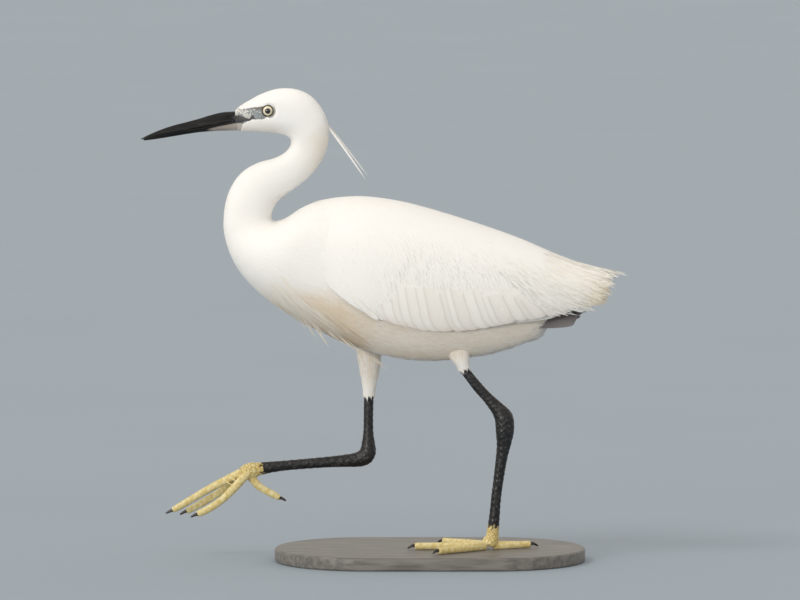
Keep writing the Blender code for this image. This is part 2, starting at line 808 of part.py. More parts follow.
def make_toe(name, points, tip, hub, skin, horn, floor=None):
    """Toe, thicker at its joints, with a gap where it meets the middle of the foot, and its claw."""
    path = []
    for i in range(6):
        place = i / 5 * (len(points) - 1)
        k = min(int(place), len(points) - 2)
        path.append(points[k].lerp(points[k + 1], place - k))
    toe = tube("toe_" + name, path, TOE_RADII, 10, 1.0, floor)
    room = tube("room", hub[0], [r + GAP for r in hub[1]], 16)
    combine(toe, [room], "DIFFERENCE")
    finish(keep_largest(toe), skin)
    claw("claw_" + name, path, tip, 0.0016, horn, floor)


def claw(name, toe_path, tip, radius, horn, floor=None):
    """Curved claw: a cone that leaves the toe in its own direction and bends down to its tip."""
    ahead = (toe_path[-1] - toe_path[-2]).normalized()
    start = toe_path[-1] + ahead * GAP
    length = (tip - start).length
    crest = start + ahead * length * 0.5 + Vector((0, 0, length * 0.10))
    path = [start, start + ahead * length * 0.06]
    for t in (0.4, 0.75, 1.0):
        path.append(start * (1 - t) ** 2 + crest * 2 * t * (1 - t) + tip * t * t)
    radii = [radius * share for share in (1.0, 1.0, 0.8, 0.5, 0.16)]
    finish(tube(name, path, radii, 7, 0.8, floor), horn)


def make_right_leg(coat, skin, foot_skin, horn):
    thigh = tube(
        "thigh_right",
        [
            (-0.0560, 0.0170, 0.2100),
            (-0.0550, 0.0190, 0.1920),
            (-0.0545, 0.0213, 0.1750),
            (-0.0546, 0.0232, 0.1620),
            (-0.0548, 0.0236, 0.1550),
        ],
        [0.0130, 0.0118, 0.0098, 0.0072, 0.0056],
        14,
        last=(-0.02, 0.03, -1),
    )
    finish(cut_room(thigh), coat)
    shin = tube(
        "shin_right",
        [
            (-0.0548, 0.0236, 0.1550),
            (-0.0552, 0.0238, 0.1460),
            (-0.0555, 0.0240, 0.1300),
            (-0.0556, 0.0241, 0.1140),
            (-0.0556, 0.0241, 0.1040),
            (-0.0560, 0.0240, 0.0965),
        ],
        [0.0044, 0.0045, 0.0044, 0.0047, 0.0062, 0.0074],
        first=(-0.02, 0.03, -1),
        last=(-0.45, 0, -1),
    )
    finish(shin, skin)
    tarsus = tube(
        "tarsus_right",
        [
            (-0.0560, 0.0240, 0.0965),
            (-0.0590, 0.0239, 0.0918),
            (-0.0650, 0.0237, 0.0893),
            (-0.0760, 0.0234, 0.0882),
            (-0.0930, 0.0230, 0.0870),
            (-0.1130, 0.0224, 0.0855),
            (-0.1330, 0.0216, 0.0838),
            (-0.1470, 0.0210, 0.0822),
            (-0.1554, 0.0207, 0.0808),
        ],
        [0.0074, 0.0078, 0.0068, 0.0058, 0.0050, 0.0047, 0.0047, 0.0054, 0.0062],
        first=(-0.45, 0, -1),
        last=(-1, -0.04, -0.15),
    )
    finish(tarsus, skin)
    places = [(-0.1554, 0.0207, 0.0808), (-0.1600, 0.0204, 0.0798), (-0.1660, 0.0201, 0.0778), (-0.1690, 0.0199, 0.0758)]
    radii = [0.0064, 0.0078, 0.0080, 0.0062]
    hub = tube("foot_right", places, radii, 16, first=(-1, -0.04, -0.15))
    finish(hub, foot_skin)
    for name, (points, tip) in RIGHT_TOES.items():
        make_toe("right_" + name, [Vector(p) for p in points], Vector(tip), (places, radii), foot_skin, horn)


def make_base(board):
    """Flat plate with round ends and a small bevel."""
    bm = bmesh.new()
    count = 32
    straight = BASE_LENGTH - BASE_WIDTH
    outline = []
    for end in (-1, 1):
        for i in range(count // 2 + 1):
            a = math.pi * i / (count // 2) + (math.pi / 2 if end < 0 else -math.pi / 2)
            outline.append((end * straight / 2 + math.cos(a) * BASE_WIDTH / 2, math.sin(a) * BASE_WIDTH / 2))
    rings = []
    for z, inset in ((0, BASE_BEVEL), (BASE_BEVEL, 0), (BASE_THICK - BASE_BEVEL, 0), (BASE_THICK, BASE_BEVEL)):
        ring = []
        for x, y in outline:
            out = Vector((x - math.copysign(straight / 2, x), y, 0)).normalized()
            ring.append(bm.verts.new(Vector((x, y, z)) - out * inset))
        rings.append(ring)
    for a, b in zip(rings, rings[1:]):
        for i in range(len(a)):
            j = (i + 1) % len(a)
            bm.faces.new((a[i], a[j], b[j], b[i]))
    bm.faces.new(rings[0])
    bm.faces.new(rings[-1])
    return finish(object_of("stand_base", bm), board, smooth=False)


def build():
    clear_scene()
    coat = material("white_plumage", (0.90, 0.89, 0.86), 0.85)
    coat_head = material("head_plumage", (0.90, 0.89, 0.86), 0.85)
    horn = material("black_bill", (0.02, 0.02, 0.022), 0.35)
    glass = material("eye", (0.75, 0.70, 0.35), 0.08)
    skin = material("black_leg", (0.03, 0.03, 0.028), 0.5)
    foot_skin = material("yellow_foot", (0.55, 0.48, 0.06), 0.55)
    board = material("base_board", (0.25, 0.23, 0.20), 0.6)
    make_head(coat_head)
    make_bill_upper(horn)
    make_bill_lower(horn)
    make_eyes(glass)
    finish(body_length("neck_upper", "neck_1", "neck_4", 5, 16), coat)
    finish(body_length("neck_middle", "neck_4", "neck_8", 6, 16), coat)
    finish(body_length("neck_lower", "neck_8", "breast_2", 6, 20), coat)
    make_torso(coat)
    make_wing("wing_left", -1, coat)
    make_wing("wing_right", 1, coat)
    make_tail(coat)
    make_left_leg(coat, skin, foot_skin, horn)
    make_right_leg(coat, skin, foot_skin, horn)
    make_base(board)


build()
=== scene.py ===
import math

import bmesh
import bpy
import numpy as np
from mathutils import Matrix, Vector


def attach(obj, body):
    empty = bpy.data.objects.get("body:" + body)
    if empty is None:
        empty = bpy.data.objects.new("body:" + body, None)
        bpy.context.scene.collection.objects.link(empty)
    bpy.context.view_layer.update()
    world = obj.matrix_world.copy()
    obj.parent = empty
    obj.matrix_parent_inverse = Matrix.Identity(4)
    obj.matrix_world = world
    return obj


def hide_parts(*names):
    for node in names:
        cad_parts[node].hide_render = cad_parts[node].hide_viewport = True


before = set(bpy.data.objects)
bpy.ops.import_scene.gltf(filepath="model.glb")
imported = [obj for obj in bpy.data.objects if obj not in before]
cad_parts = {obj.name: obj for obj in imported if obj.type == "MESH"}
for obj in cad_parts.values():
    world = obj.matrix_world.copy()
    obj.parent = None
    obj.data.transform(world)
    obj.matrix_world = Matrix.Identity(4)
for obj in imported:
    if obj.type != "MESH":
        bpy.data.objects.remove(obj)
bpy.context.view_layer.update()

# ---------------------------------------------------------------- view, floor and light
# The bird is seen square on from its left and a little from above, over a plain pale floor.
# A soft lamp shines low from its front left, a weaker one from above its head and a faint one from
# behind, in a pale room.
AIM = Vector((-0.027, 0.0, 0.2361))
RISE = math.radians(5.0)
lens = bpy.data.cameras.new("camera")
lens.lens, lens.sensor_width, lens.clip_end = 400, 36, 100
camera = bpy.data.objects.new("camera", lens)
camera.location = AIM + Vector((0, -math.cos(RISE), math.sin(RISE))) * 8
camera.rotation_euler = (math.pi / 2 - RISE, 0, 0)
bpy.context.scene.collection.objects.link(camera)
bpy.context.scene.camera = camera
bpy.context.scene.view_settings.view_transform = "Standard"

for name, way, strength, soft, tint in (
    ("lamp_over", (-0.60, -0.48, 0.80), 0.68, 20, (1.0, 0.975, 0.930)),
    ("lamp_front", (-0.58, -1.0, 0.16), 1.12, 14, (1.0, 0.965, 0.905)),
    ("lamp_behind", (0.75, 0.65, 0.65), 0.05, 40, (0.96, 0.98, 1.0)),
):
    data = bpy.data.lights.new(name, "SUN")
    data.energy, data.angle, data.color = strength, math.radians(soft), tint
    lamp = bpy.data.objects.new(name, data)
    lamp.rotation_euler = Vector(way).to_track_quat("Z", "Y").to_euler()
    bpy.context.scene.collection.objects.link(lamp)

room = bpy.data.worlds.new("room")
room.use_nodes = True
room.node_tree.nodes["Background"].inputs["Color"].default_value = (1.0, 0.958, 0.905, 1)
room.node_tree.nodes["Background"].inputs["Strength"].default_value = 0.82
bpy.context.scene.world = room


class Wire:
    """A socket of one material's nodes, with arithmetic."""

    def __init__(self, tree, socket=None):
        self.tree, self.socket = tree, socket

    def node(self, kind, settings=None, sockets=None, out=0):
        made = self.tree.nodes.new("ShaderNode" + kind)
        for key, value in (settings or {}).items():
            if key == "stops":
                ramp = made.color_ramp
                while len(ramp.elements) < len(value):
                    ramp.elements.new(0.5)
                for element, (at, color) in zip(ramp.elements, value):
                    element.position, element.color = at, (*color, 1)
            else:
                setattr(made, key, value)
        for key, value in (sockets or {}).items():
            self.feed(made.inputs[key], value)
        return Wire(self.tree, made.outputs[out])

    def feed(self, socket, value):
        if isinstance(value, Wire):
            self.tree.links.new(value.socket, socket)
        elif isinstance(value, tuple) and len(value) == 3 and socket.type == "RGBA":
            socket.default_value = (*value, 1)
        else:
            socket.default_value = value

    def math(self, operation, a, b=0.0):
        return self.node("Math", {"operation": operation}, {0: a, 1: b})

    def __add__(self, other):
        return self.math("ADD", self, other)

    def __sub__(self, other):
        return self.math("SUBTRACT", self, other)

    def __rsub__(self, other):
        return self.math("SUBTRACT", other, self)

    def __mul__(self, other):
        return self.math("MULTIPLY", self, other)

    def __truediv__(self, other):
        return self.math("DIVIDE", self, other)

    def __pow__(self, other):
        return self.math("POWER", self, other)

    __radd__ = __add__
    __rmul__ = __mul__

    def band(self, low, high):
        """0 below low, 1 above high and smooth between."""
        return self.node("MapRange", {"interpolation_type": "SMOOTHSTEP"},
            {0: self, 1: low, 2: high, 3: 0.0, 4: 1.0})

    def blend(self, a, b, kind="MIX"):
        """Colour a where this is 0 and colour b where it is 1."""
        return self.node("Mix", {"data_type": "RGBA", "blend_type": kind}, {0: self, 6: a, 7: b}, out=2)

    def noise(self, scale, detail=3.0, stretch=None, of="Object"):
        where = self.node("TexCoord", out={"Object": 3, "UV": 2}[of])
        if stretch:
            where = self.node("Mapping", {}, {"Vector": where, "Scale": stretch})
        return self.node("TexNoise", {}, {"Vector": where, "Scale": scale, "Detail": detail})

    def bump(self, height, strength, distance):
        return self.node("Bump", {}, {"Strength": strength, "Distance": distance, "Height": height})


def new_finish(name, **fixed):
    """A material, the wire its nodes start from and a way to feed its shader."""
    made = bpy.data.materials.new(name)
    made.use_nodes = True
    tree = made.node_tree
    shader = tree.nodes["Principled BSDF"]
    for key, value in fixed.items():
        shader.inputs[key.replace("_", " ")].default_value = value
    start = Wire(tree)

    def feed(socket, value):
        start.feed(shader.inputs[socket], value)

    return made, start, feed


def piece_of(name, bm, finish, smooth=True):
    """An object from a bmesh, facing outwards, with one material."""
    bmesh.ops.recalc_face_normals(bm, faces=bm.faces)
    mesh = bpy.data.meshes.new(name)
    bm.to_mesh(mesh)
    bm.free()
    mesh.polygons.foreach_set("use_smooth", [smooth] * len(mesh.polygons))
    mesh.materials.append(finish)
    made = bpy.data.objects.new(name, mesh)
    bpy.context.scene.collection.objects.link(made)
    return made


floor_finish, w, feed = new_finish("pale_floor", Roughness=0.85)
feed("Base Color", w.noise(3.0).blend((0.30, 0.355, 0.41), (0.325, 0.38, 0.435)))
feed("Normal", w.bump(w.noise(240.0), 0.05, 0.001))
bm = bmesh.new()
bmesh.ops.create_grid(bm, x_segments=2, y_segments=2, size=30)
floor = piece_of("floor", bm, floor_finish)

# ---------------------------------------------------------------- stand base
# The model stands on a flat board with round ends, sawn from close-grained wood, stained grey and
# waxed, its rims eased with a small round.
BASE_LENGTH, BASE_WIDTH, BASE_THICK, BASE_ROUND = 0.280, 0.170, 0.012, 0.002
board_finish, w, feed = new_finish("stained_board", Coat_Roughness=0.35)
grain = w.noise(30.0, 6.0, (1.0, 14.0, 8.0))
pore = w.noise(160.0, 3.0, (1.0, 22.0, 8.0))
feed("Base Color", grain.band(0.3, 0.7).blend((0.105, 0.097, 0.088), (0.19, 0.178, 0.16)))
feed("Roughness", 0.45 + 0.2 * pore)
feed("Coat Weight", 0.12 + 0.1 * grain)
feed("Normal", w.bump(grain * 0.5 + pore * 0.5, 0.25, 0.0004))

bm = bmesh.new()
bmesh.ops.create_circle(bm, cap_ends=True, segments=128, radius=BASE_WIDTH / 2)
for vert in bm.verts:
    if abs(vert.co.x) > 1e-6:
        vert.co.x += math.copysign((BASE_LENGTH - BASE_WIDTH) / 2, vert.co.x)
raised = bmesh.ops.extrude_face_region(bm, geom=list(bm.faces))
bmesh.ops.translate(bm, verts=[v for v in raised["geom"] if isinstance(v, bmesh.types.BMVert)],
    vec=(0, 0, BASE_THICK))
rims = [e for e in bm.edges if abs(e.verts[0].co.z - e.verts[1].co.z) < 1e-6 and len(e.link_faces) == 2]
bmesh.ops.bevel(bm, geom=rims, offset=BASE_ROUND, affect="EDGES", segments=4, profile=0.5, material=-1)
base = piece_of("base_board", bm, board_finish, smooth=False)
for face in base.data.polygons:
    face.use_smooth = abs(face.normal.z) < 0.99
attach(base, "root")
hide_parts("stand_base")

# ---------------------------------------------------------------- skin
# One pale skin runs over the head, the neck and the trunk and lies under the plumage by its depth.
# Between the bill and the eye it is bare: thin blue-grey skin with fine wrinkles.
ROWS = np.array((
    (-0.1719, 0.4103, -0.1701, 0.3882, 0.0075),
    (-0.1629, 0.4157, -0.1620, 0.3882, 0.0100),
    (-0.1512, 0.4219, -0.1512, 0.3877, 0.0126),
    (-0.1368, 0.4264, -0.1386, 0.3869, 0.0140),
    (-0.1215, 0.4262, -0.1296, 0.3846, 0.0143),
    (-0.1080, 0.4206, -0.1255, 0.3815, 0.0140),
    (-0.0981, 0.4098, -0.1246, 0.3783, 0.0134),
    (-0.0922, 0.3963, -0.1255, 0.3747, 0.0128),
    (-0.0914, 0.3819, -0.1283, 0.3706, 0.0122),
    (-0.0940, 0.3693, -0.1336, 0.3666, 0.0120),
    (-0.1008, 0.3572, -0.1417, 0.3632, 0.0122),
    (-0.1107, 0.3459, -0.1521, 0.3605, 0.0128),
    (-0.1215, 0.3373, -0.1624, 0.3558, 0.0136),
    (-0.1314, 0.3306, -0.1714, 0.3486, 0.0145),
    (-0.1381, 0.3243, -0.1787, 0.3378, 0.0155),
    (-0.1417, 0.3175, -0.1832, 0.3256, 0.0165),
    (-0.1431, 0.3113, -0.1851, 0.3135, 0.0175),
    (-0.1413, 0.3068, -0.1854, 0.3009, 0.0195),
    (-0.1368, 0.3060, -0.1832, 0.2888, 0.0230),
    (-0.1309, 0.3085, -0.1791, 0.2766, 0.0280),
    (-0.1242, 0.3130, -0.1724, 0.2645, 0.0330),
    (-0.1161, 0.3185, -0.1633, 0.2527, 0.0375),
    (-0.1062, 0.3230, -0.1512, 0.2411, 0.0410),
    (-0.0945, 0.3261, -0.1350, 0.2289, 0.0425),
    (-0.0810, 0.3279, -0.1152, 0.2167, 0.0435),
    (-0.0657, 0.3283, -0.0918, 0.2055, 0.0450),
    (-0.0486, 0.3272, -0.0666, 0.1947, 0.0460),
    (-0.0297, 0.3247, -0.0396, 0.1866, 0.0460),
    (-0.0099, 0.3198, -0.0126, 0.1826, 0.0455),
    (0.0099, 0.3140, 0.0126, 0.1826, 0.0435),
    (0.0297, 0.3067, 0.0360, 0.1852, 0.0400),
    (0.0495, 0.2972, 0.0576, 0.1893, 0.0345),
    (0.0684, 0.2850, 0.0756, 0.1947, 0.0275),
    (0.0846, 0.2715, 0.0900, 0.2001, 0.0200),
    (0.0972, 0.2580, 0.0999, 0.2050, 0.0135),
    (0.1080, 0.2440, 0.1062, 0.2150, 0.0080),
    (0.1190, 0.2330, 0.1150, 0.2230, 0.0040),
))
LAST = 35.0
EYE = Vector((-0.1456, 0.0094, 0.4075))
SKIN_DEPTH = ((0, 0.0002), (2, 0.0003), (5, 0.0004), (9, 0.0005), (14, 0.0006), (20, 0.0008), (28, 0.0009),
    (35, 0.0010))
FACE_FORMS = (  # x, z, reach along and up, change of width: hollow lores, brow, cheek
    (-0.1625, 0.4045, 0.0075, 0.0050, -0.10),
    (-0.1500, 0.4155, 0.0110, 0.0032, 0.07),
    (-0.1370, 0.3950, 0.0120, 0.0060, 0.05),
)
# half width at the eye's rim, rise outside it, softness
SOCKET, SOCKET_SLOPE, SOCKET_ROUND = 0.0117, 0.62, 0.00035


def along_rows(rows, place):
    """Values of a table of rows at fractional places, on a smooth curve through the rows."""
    i = np.clip(place.astype(int), 0, len(rows) - 2)
    t = np.clip(place - i, 0.0, 1.0)[..., None]
    longer = np.vstack((2 * rows[:1] - rows[1:2], rows, 2 * rows[-1:] - rows[-2:-1]))
    a, b, c, d = (longer[i + k] for k in range(4))
    return 0.5 * (2 * b + (c - a) * t + (2 * a - 5 * b + 4 * c - d) * t ** 2 + (3 * b - a - 3 * c + d) * t ** 3)


def bend(value, power):
    return np.sign(value) * np.abs(value) ** (2 / power)


def flesh(place, turn, lift):
    """Points of the body: place counts the rows from the brow, turn runs round from the back edge."""
    place, turn, lift = np.broadcast_arrays(np.asarray(place, float), turn, lift)
    row = along_rows(ROWS, place)
    high, low = row[..., 0:2], row[..., 2:4]
    up = high - low
    tall = np.linalg.norm(up, axis=-1)
    rise = bend(np.cos(turn), 2.15) * (tall / 2 + lift) / tall
    middle = (high + low) / 2 + up * rise[..., None]
    side = bend(np.sin(turn), 2.15) * (row[..., 4] + lift)
    for x, z, reach_x, reach_z, change in FACE_FORMS:
        side = side * (1 + change * np.exp(-((middle[..., 0] - x) / reach_x) ** 2 - ((middle[..., 1] - z) / reach_z) ** 2))
    from_eye = np.hypot(middle[..., 0] - EYE.x, middle[..., 1] - EYE.z)
    bowl = SOCKET + SOCKET_SLOPE * np.maximum(0, from_eye - 0.0046) + lift
    side = -np.sign(side) * SOCKET_ROUND * np.logaddexp(-np.abs(side) / SOCKET_ROUND, -bowl / SOCKET_ROUND)
    return np.stack((middle[..., 0], side, middle[..., 1]), -1)


def depth_at(place):
    return np.interp(place, [p for p, _ in SKIN_DEPTH], [d for _, d in SKIN_DEPTH])


def bareness(x, z):
    """1 on the bare skin between the bill and the eye, 0 on the feathered face."""
    upper = np.interp(
        x, (-0.1760, -0.1700, -0.1655, -0.1600, -0.1550, -0.1512, -0.1456),
        (0.4100, 0.4088, 0.4092, 0.4102, 0.4110, 0.4116, 0.4105),
    )
    lower = np.interp(
        x, (-0.1760, -0.1700, -0.1683, -0.1661, -0.1634, -0.1611, -0.1575, -0.1503, -0.1472, -0.1456),
        (0.3860, 0.3890, 0.3949, 0.3966, 0.3978, 0.3986, 0.3989, 0.3994, 0.4012, 0.4030),
    )
    inside = np.minimum(np.minimum(upper - z, z - lower), -0.1440 - x)
    return np.clip(inside / 0.0008 + 0.5, 0, 1)


def sheet_piece(name, columns, rows, shape, finish, values=None):
    """A closed form: a grid whose columns run along it and whose rows run round it, set on its shape."""
    bm = bmesh.new()
    bm.loops.layers.uv.new("OFBake")
    bmesh.ops.create_grid(bm, x_segments=columns, y_segments=rows, size=0.5, calc_uvs=True)
    flat = np.array([v.co for v in bm.verts])
    placed = shape(flat[:, 0] + 0.5, flat[:, 1] + 0.5)
    for vert, co in zip(bm.verts, placed):
        vert.co = co
    bmesh.ops.remove_doubles(bm, verts=bm.verts, dist=2e-6)
    made = piece_of(name, bm, finish)
    for key, value in (values or {}).items():
        co = np.empty(len(made.data.vertices) * 3, np.float32)
        made.data.vertices.foreach_get("co", co)
        co = co.reshape(-1, 3)
        made.data.attributes.new(key, "FLOAT", "POINT").data.foreach_set("value",
            value(co).astype(np.float32))
    return made


NOSE, SKIN_END = 0.03, 0.012  # shares of the skin's length: its lip on the bill, and its closing behind


def skin_shape(u, v):
    """The body's form less the coat's depth, drawn in at the front to a lip on the root of the bill."""
    place = np.clip((u - NOSE) / (1 - NOSE - SKIN_END), 0, 1) * LAST
    turn = v * 2 * math.pi
    spot = flesh(place, turn, -depth_at(place))
    lip = np.stack((-0.1758 + 0 * u, 0.0054 * np.sin(turn), 0.3976 + 0.0082 * np.cos(turn)), -1)
    front = np.clip((NOSE - u) / (NOSE - 0.004), 0, 1)
    spot = spot + (lip - spot) * (front ** 2 * (3 - 2 * front))[:, None]
    row = along_rows(ROWS, place)
    middle = np.stack(((row[:, 0] + row[:, 2]) / 2, 0 * u, (row[:, 1] + row[:, 3]) / 2), -1)
    middle[u < NOSE] = (-0.1758, 0, 0.3976)
    end = np.clip(np.minimum(u / 0.004, (1 - u) / SKIN_END), 0, 1)
    return middle + (spot - middle) * np.sin(end * math.pi / 2)[:, None]


skin_finish, w, feed = new_finish("skin", Sheen_Weight=0.2)
bare = w.node("Attribute", {"attribute_name": "bare"}, out=2)
dark = w.node("Attribute", {"attribute_name": "dark"}, out=2)
mottle = w.noise(900.0, 4.0)
down = w.noise(220.0, 4.0)
patch = w.noise(420.0, 3.0)
parts = w.node("SeparateXYZ", {}, {0: w.node("TexCoord", out=3)})
x, z = parts, Wire(w.tree, parts.socket.node.outputs[2])
lores = mottle.band(0.30, 0.75).blend((0.15, 0.175, 0.19), (0.28, 0.305, 0.31))
front = mottle.band(0.30, 0.70).blend((0.36, 0.35, 0.34), (0.70, 0.69, 0.63))
lores = (1 - (x + 0.10 * patch).band(-0.1190, -0.1090)).blend(lores, front)
lores = ((z + 0.006 * patch).band(0.4105, 0.4122) * (x + 0.01 * mottle).band(-0.1560, -0.1540)).blend(lores,
    (0.13, 0.115, 0.09))
lores = (1 - z.band(0.3948, 0.3960)).blend(lores, mottle.blend((0.36, 0.33, 0.30), (0.55, 0.50, 0.45)))
lores = (dark * (0.55 + 0.9 * mottle)).band(0.25, 0.75).blend(lores, (0.010, 0.010, 0.013))
feed("Base Color", bare.band(0.3, 0.7).blend(down.blend((0.86, 0.84, 0.80), (0.92, 0.91, 0.89)), lores))
feed("Roughness", 0.8 - 0.35 * bare)
feed("Normal", w.bump(mottle * bare + down * (1 - bare), 0.5, 0.0004))
DARK = (  # x, z, reach along and up, strength: root of the bill, spot before the eye, gape line
    (-0.1725, 0.3996, 0.0070, 0.0034, 1.5),
    (-0.1594, 0.4014, 0.0017, 0.0024, 1.2),
    (-0.1620, 0.3993, 0.0060, 0.0008, 1.4),
    (-0.1560, 0.3994, 0.0040, 0.0005, 0.8),
)


def dark_skin(co):
    """Black skin against the bill, along the corner of the mouth and before the eye."""
    return np.clip(sum(
        k * np.exp(-((co[:, 0] - x) / a) ** 2 - ((co[:, 2] - z) / b) ** 2) for x, z, a, b, k in DARK
    ), 0, 1)


skin = sheet_piece(
    "skin", 420, 84, skin_shape, skin_finish,
    {"bare": lambda co: bareness(co[:, 0], co[:, 2]) * ((np.abs(co[:, 1]) > 0.003) | (co[:, 2] < 0.393)),
        "dark": dark_skin},
)
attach(skin, "root")
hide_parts("head", "neck_upper", "neck_middle", "neck_lower", "torso")

# ---------------------------------------------------------------- short plumage of head, neck and trunk
# Small white feathers grow from the skin and lie back along the body: very short on the face, fine
# and hair-like down the neck, longer and softer on the breast, the belly and the rump.
def blade_form(stations, sides):
    """Corners (station, across, height) and triangles of one closed blade that ends in a point."""
    bm = bmesh.new()
    bmesh.ops.create_cone(bm, cap_ends=True, segments=sides, radius1=1, radius2=0, depth=1)
    for k in range(1, stations - 1):
        geom = list(bm.verts) + list(bm.edges) + list(bm.faces)
        bmesh.ops.bisect_plane(bm, geom=geom, plane_co=(0, 0, k / (stations - 1) - 0.5), plane_no=(0, 0, 1))
    bmesh.ops.triangulate(bm, faces=bm.faces)
    bmesh.ops.recalc_face_normals(bm, faces=bm.faces)
    bm.verts.index_update()
    corners = []
    for vert in bm.verts:
        t = vert.co.z + 0.5
        reach = math.hypot(vert.co.x, vert.co.y)
        a, h = (vert.co.x / reach, vert.co.y / reach) if reach > 1e-6 else (0.0, 0.0)
        corners.append((round(t * (stations - 1)), a, h if h > 0 else h * 0.35))
    faces = [[v.index for v in f.verts] for f in bm.faces]
    bm.free()
    corners = np.array(corners)
    return corners[:, 0].astype(int), corners[:, 1], corners[:, 2], np.array(faces)


def lay_blades(name, form, centre, across, normal, width, thick, roots, tone, stain, finish, slot):
    """Many narrow blades as one mesh. centre, across and normal are (blade, station, 3), width (blade, station)."""
    station, a, h, _ = form
    co = centre[:, station] + across[:, station] * (width[:, station] * a)[..., None] / 2
    co = co + normal[:, station] * (np.asarray(thick).reshape(-1, 1) * h)[..., None]
    facing = unit(normal[:, station] + across[:, station] * (0.35 * a)[:, None])
    return join_blades(name, form, co, facing, roots, tone, stain, finish)


def join_blades(name, form, co, facing, roots, tone, stain, finish):
    """One mesh from the corners of many copies of a blade, shaded with the lie of the coat.

    Each blade's patch on the OFBake map is a small square at its root's place on the skin.
    """
    station, a, h, faces = form
    count, corners = co.shape[:2]
    first = co[0] - co[0].mean(axis=0)
    if (first[faces[:, 0]] * np.cross(first[faces[:, 1]], first[faces[:, 2]])).sum() < 0:
        faces = faces[:, ::-1]
    mesh = bpy.data.meshes.new(name)
    loops = (faces[None] + corners * np.arange(count)[:, None, None]).reshape(-1)
    mesh.vertices.add(count * corners)
    mesh.vertices.foreach_set("co", co.astype(np.float32).reshape(-1))
    mesh.loops.add(len(loops))
    mesh.loops.foreach_set("vertex_index", loops.astype(np.int32))
    total = count * len(faces)
    mesh.polygons.add(total)
    mesh.polygons.foreach_set("loop_start", np.arange(0, total * 3, 3, dtype=np.int32))
    mesh.polygons.foreach_set("use_smooth", np.ones(total, bool))
    mesh.update()
    t = station / station.max()
    bake = roots[:, None] + (np.stack((a * 0.5 + 0.5, t), -1)[None] - 0.5) * 0.003
    lie = np.stack((np.broadcast_to(a, (count, corners)), np.broadcast_to(t, (count, corners))), -1)
    for key, value in (("OFBake", bake), ("lie", lie)):
        mesh.uv_layers.new(name=key).data.foreach_set("uv",
            value.reshape(-1, 2)[loops].astype(np.float32).reshape(-1))
    for key, value in (("tone", tone), ("stain", stain)):
        spread = np.repeat(np.broadcast_to(value, count).astype(np.float32), corners)
        mesh.attributes.new(key, "FLOAT", "POINT").data.foreach_set("value", spread)
    below = np.where((h[faces] < 1e-6).all(1), -1.0, 1.0)
    mesh.normals_split_custom_set((facing[:, faces] * below[:, None, None]).reshape(-1, 3).astype(np.float32))
    mesh.materials.append(finish)
    made = bpy.data.objects.new(name, mesh)
    bpy.context.scene.collection.objects.link(made)
    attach(made, "root")
    return made


def unit(v):
    return v / np.maximum(np.linalg.norm(v, axis=-1, keepdims=True), 1e-12)


def frame_on(surface, p, q, lift, step_p, step_q):
    """Point and outward normal of a surface at (p, q, lift)."""
    spot = surface(p, q, lift)
    run = surface(p + step_p, q, lift) - surface(p - step_p, q, lift)
    cross = surface(p, q + step_q, lift) - surface(p, q - step_q, lift)
    out = surface(p, q, lift + 0.002) - spot
    normal = unit(np.cross(run, cross))
    return spot, normal * np.sign((normal * out).sum(-1,
        keepdims=True)), run / (2 * step_p), cross / (2 * step_q)


def plume_finish(name, root, tip, stain_and_shade_color, barbs=9.0, depth=0.00025, rough=0.62, relief=0.3,
    ramp=(0.0, 0.5), rim=0.0, hem_shadow=0.0):
    """White feather: its colour runs from root to tip, and a darker root is painted shade where the feathers
    overlap; a little uneven from feather to feather, finely ribbed.
    """
    made, w, feed = new_finish(name, Sheen_Weight=0.25, Sheen_Roughness=0.5)
    lie = w.node("UVMap", {"uv_map": "lie"})
    split = w.node("SeparateXYZ", {}, {0: lie})
    across, along = split, Wire(w.tree, split.socket.node.outputs[1])
    tone = w.node("Attribute", {"attribute_name": "tone"}, out=2)
    stain = w.node("Attribute", {"attribute_name": "stain"}, out=2)
    cloud = w.noise(60.0, 3.0)
    # root and tip colours: a darker root, as on the short coat, is painted shade where the feathers overlap
    color = (along + 0.25 * (cloud - 0.5)).band(*ramp).blend(root, tip)
    # darker rim along a vane's edges: partly the feather's own translucent edge, partly painted shade between
    # overlapping vanes
    color = (w.math("ABSOLUTE", across).band(0.86, 1.0) * rim).blend(color, stain_and_shade_color)
    # painted shadow: a dark brown band at the feather's very end, where the wing's lower edge casts its shadow
    color = (along.band(0.94, 1.0) * hem_shadow).blend(color, (0.33, 0.265, 0.21))
    color = (tone * 0.10).blend(color, root)
    # this attribute carries real cream and mud stains and, on some coats, painted shade
    color = (stain * (0.75 + 0.5 * cloud)).band(0.0, 1.0).blend(color, stain_and_shade_color)
    feed("Base Color", color)
    feed("Roughness", rough + 0.15 * cloud)
    rib = w.math("SINE", (along * barbs * 3.0 + w.math("ABSOLUTE", across) * barbs) * 6.283)
    feed("Normal", w.bump(rib * 0.5 + cloud, relief, depth))
    return made


def even_roots(count, first, last, wanted, seed):
    """Places and turns spread evenly over the body between two rows, thinned where less is wanted."""
    n = np.arange(count * 8) + seed * 7919
    place = first + (last - first) * ((n * 0.7548776662466927) % 1)
    turn = 2 * math.pi * ((n * 0.5698402909980532) % 1)
    _, _, run, cross = frame_on(flesh, place, turn, 0.0, 0.02, 0.02)
    weight = np.linalg.norm(np.cross(run, cross), axis=-1) * wanted(place, turn)
    rng = np.random.default_rng(seed)
    keep = rng.random(len(n)) < weight * (count / weight.sum())
    return place[keep], turn[keep], rng


LIE = np.array((0.0, 0.55, 1.0))  # where along a short feather its three cross-sections stand


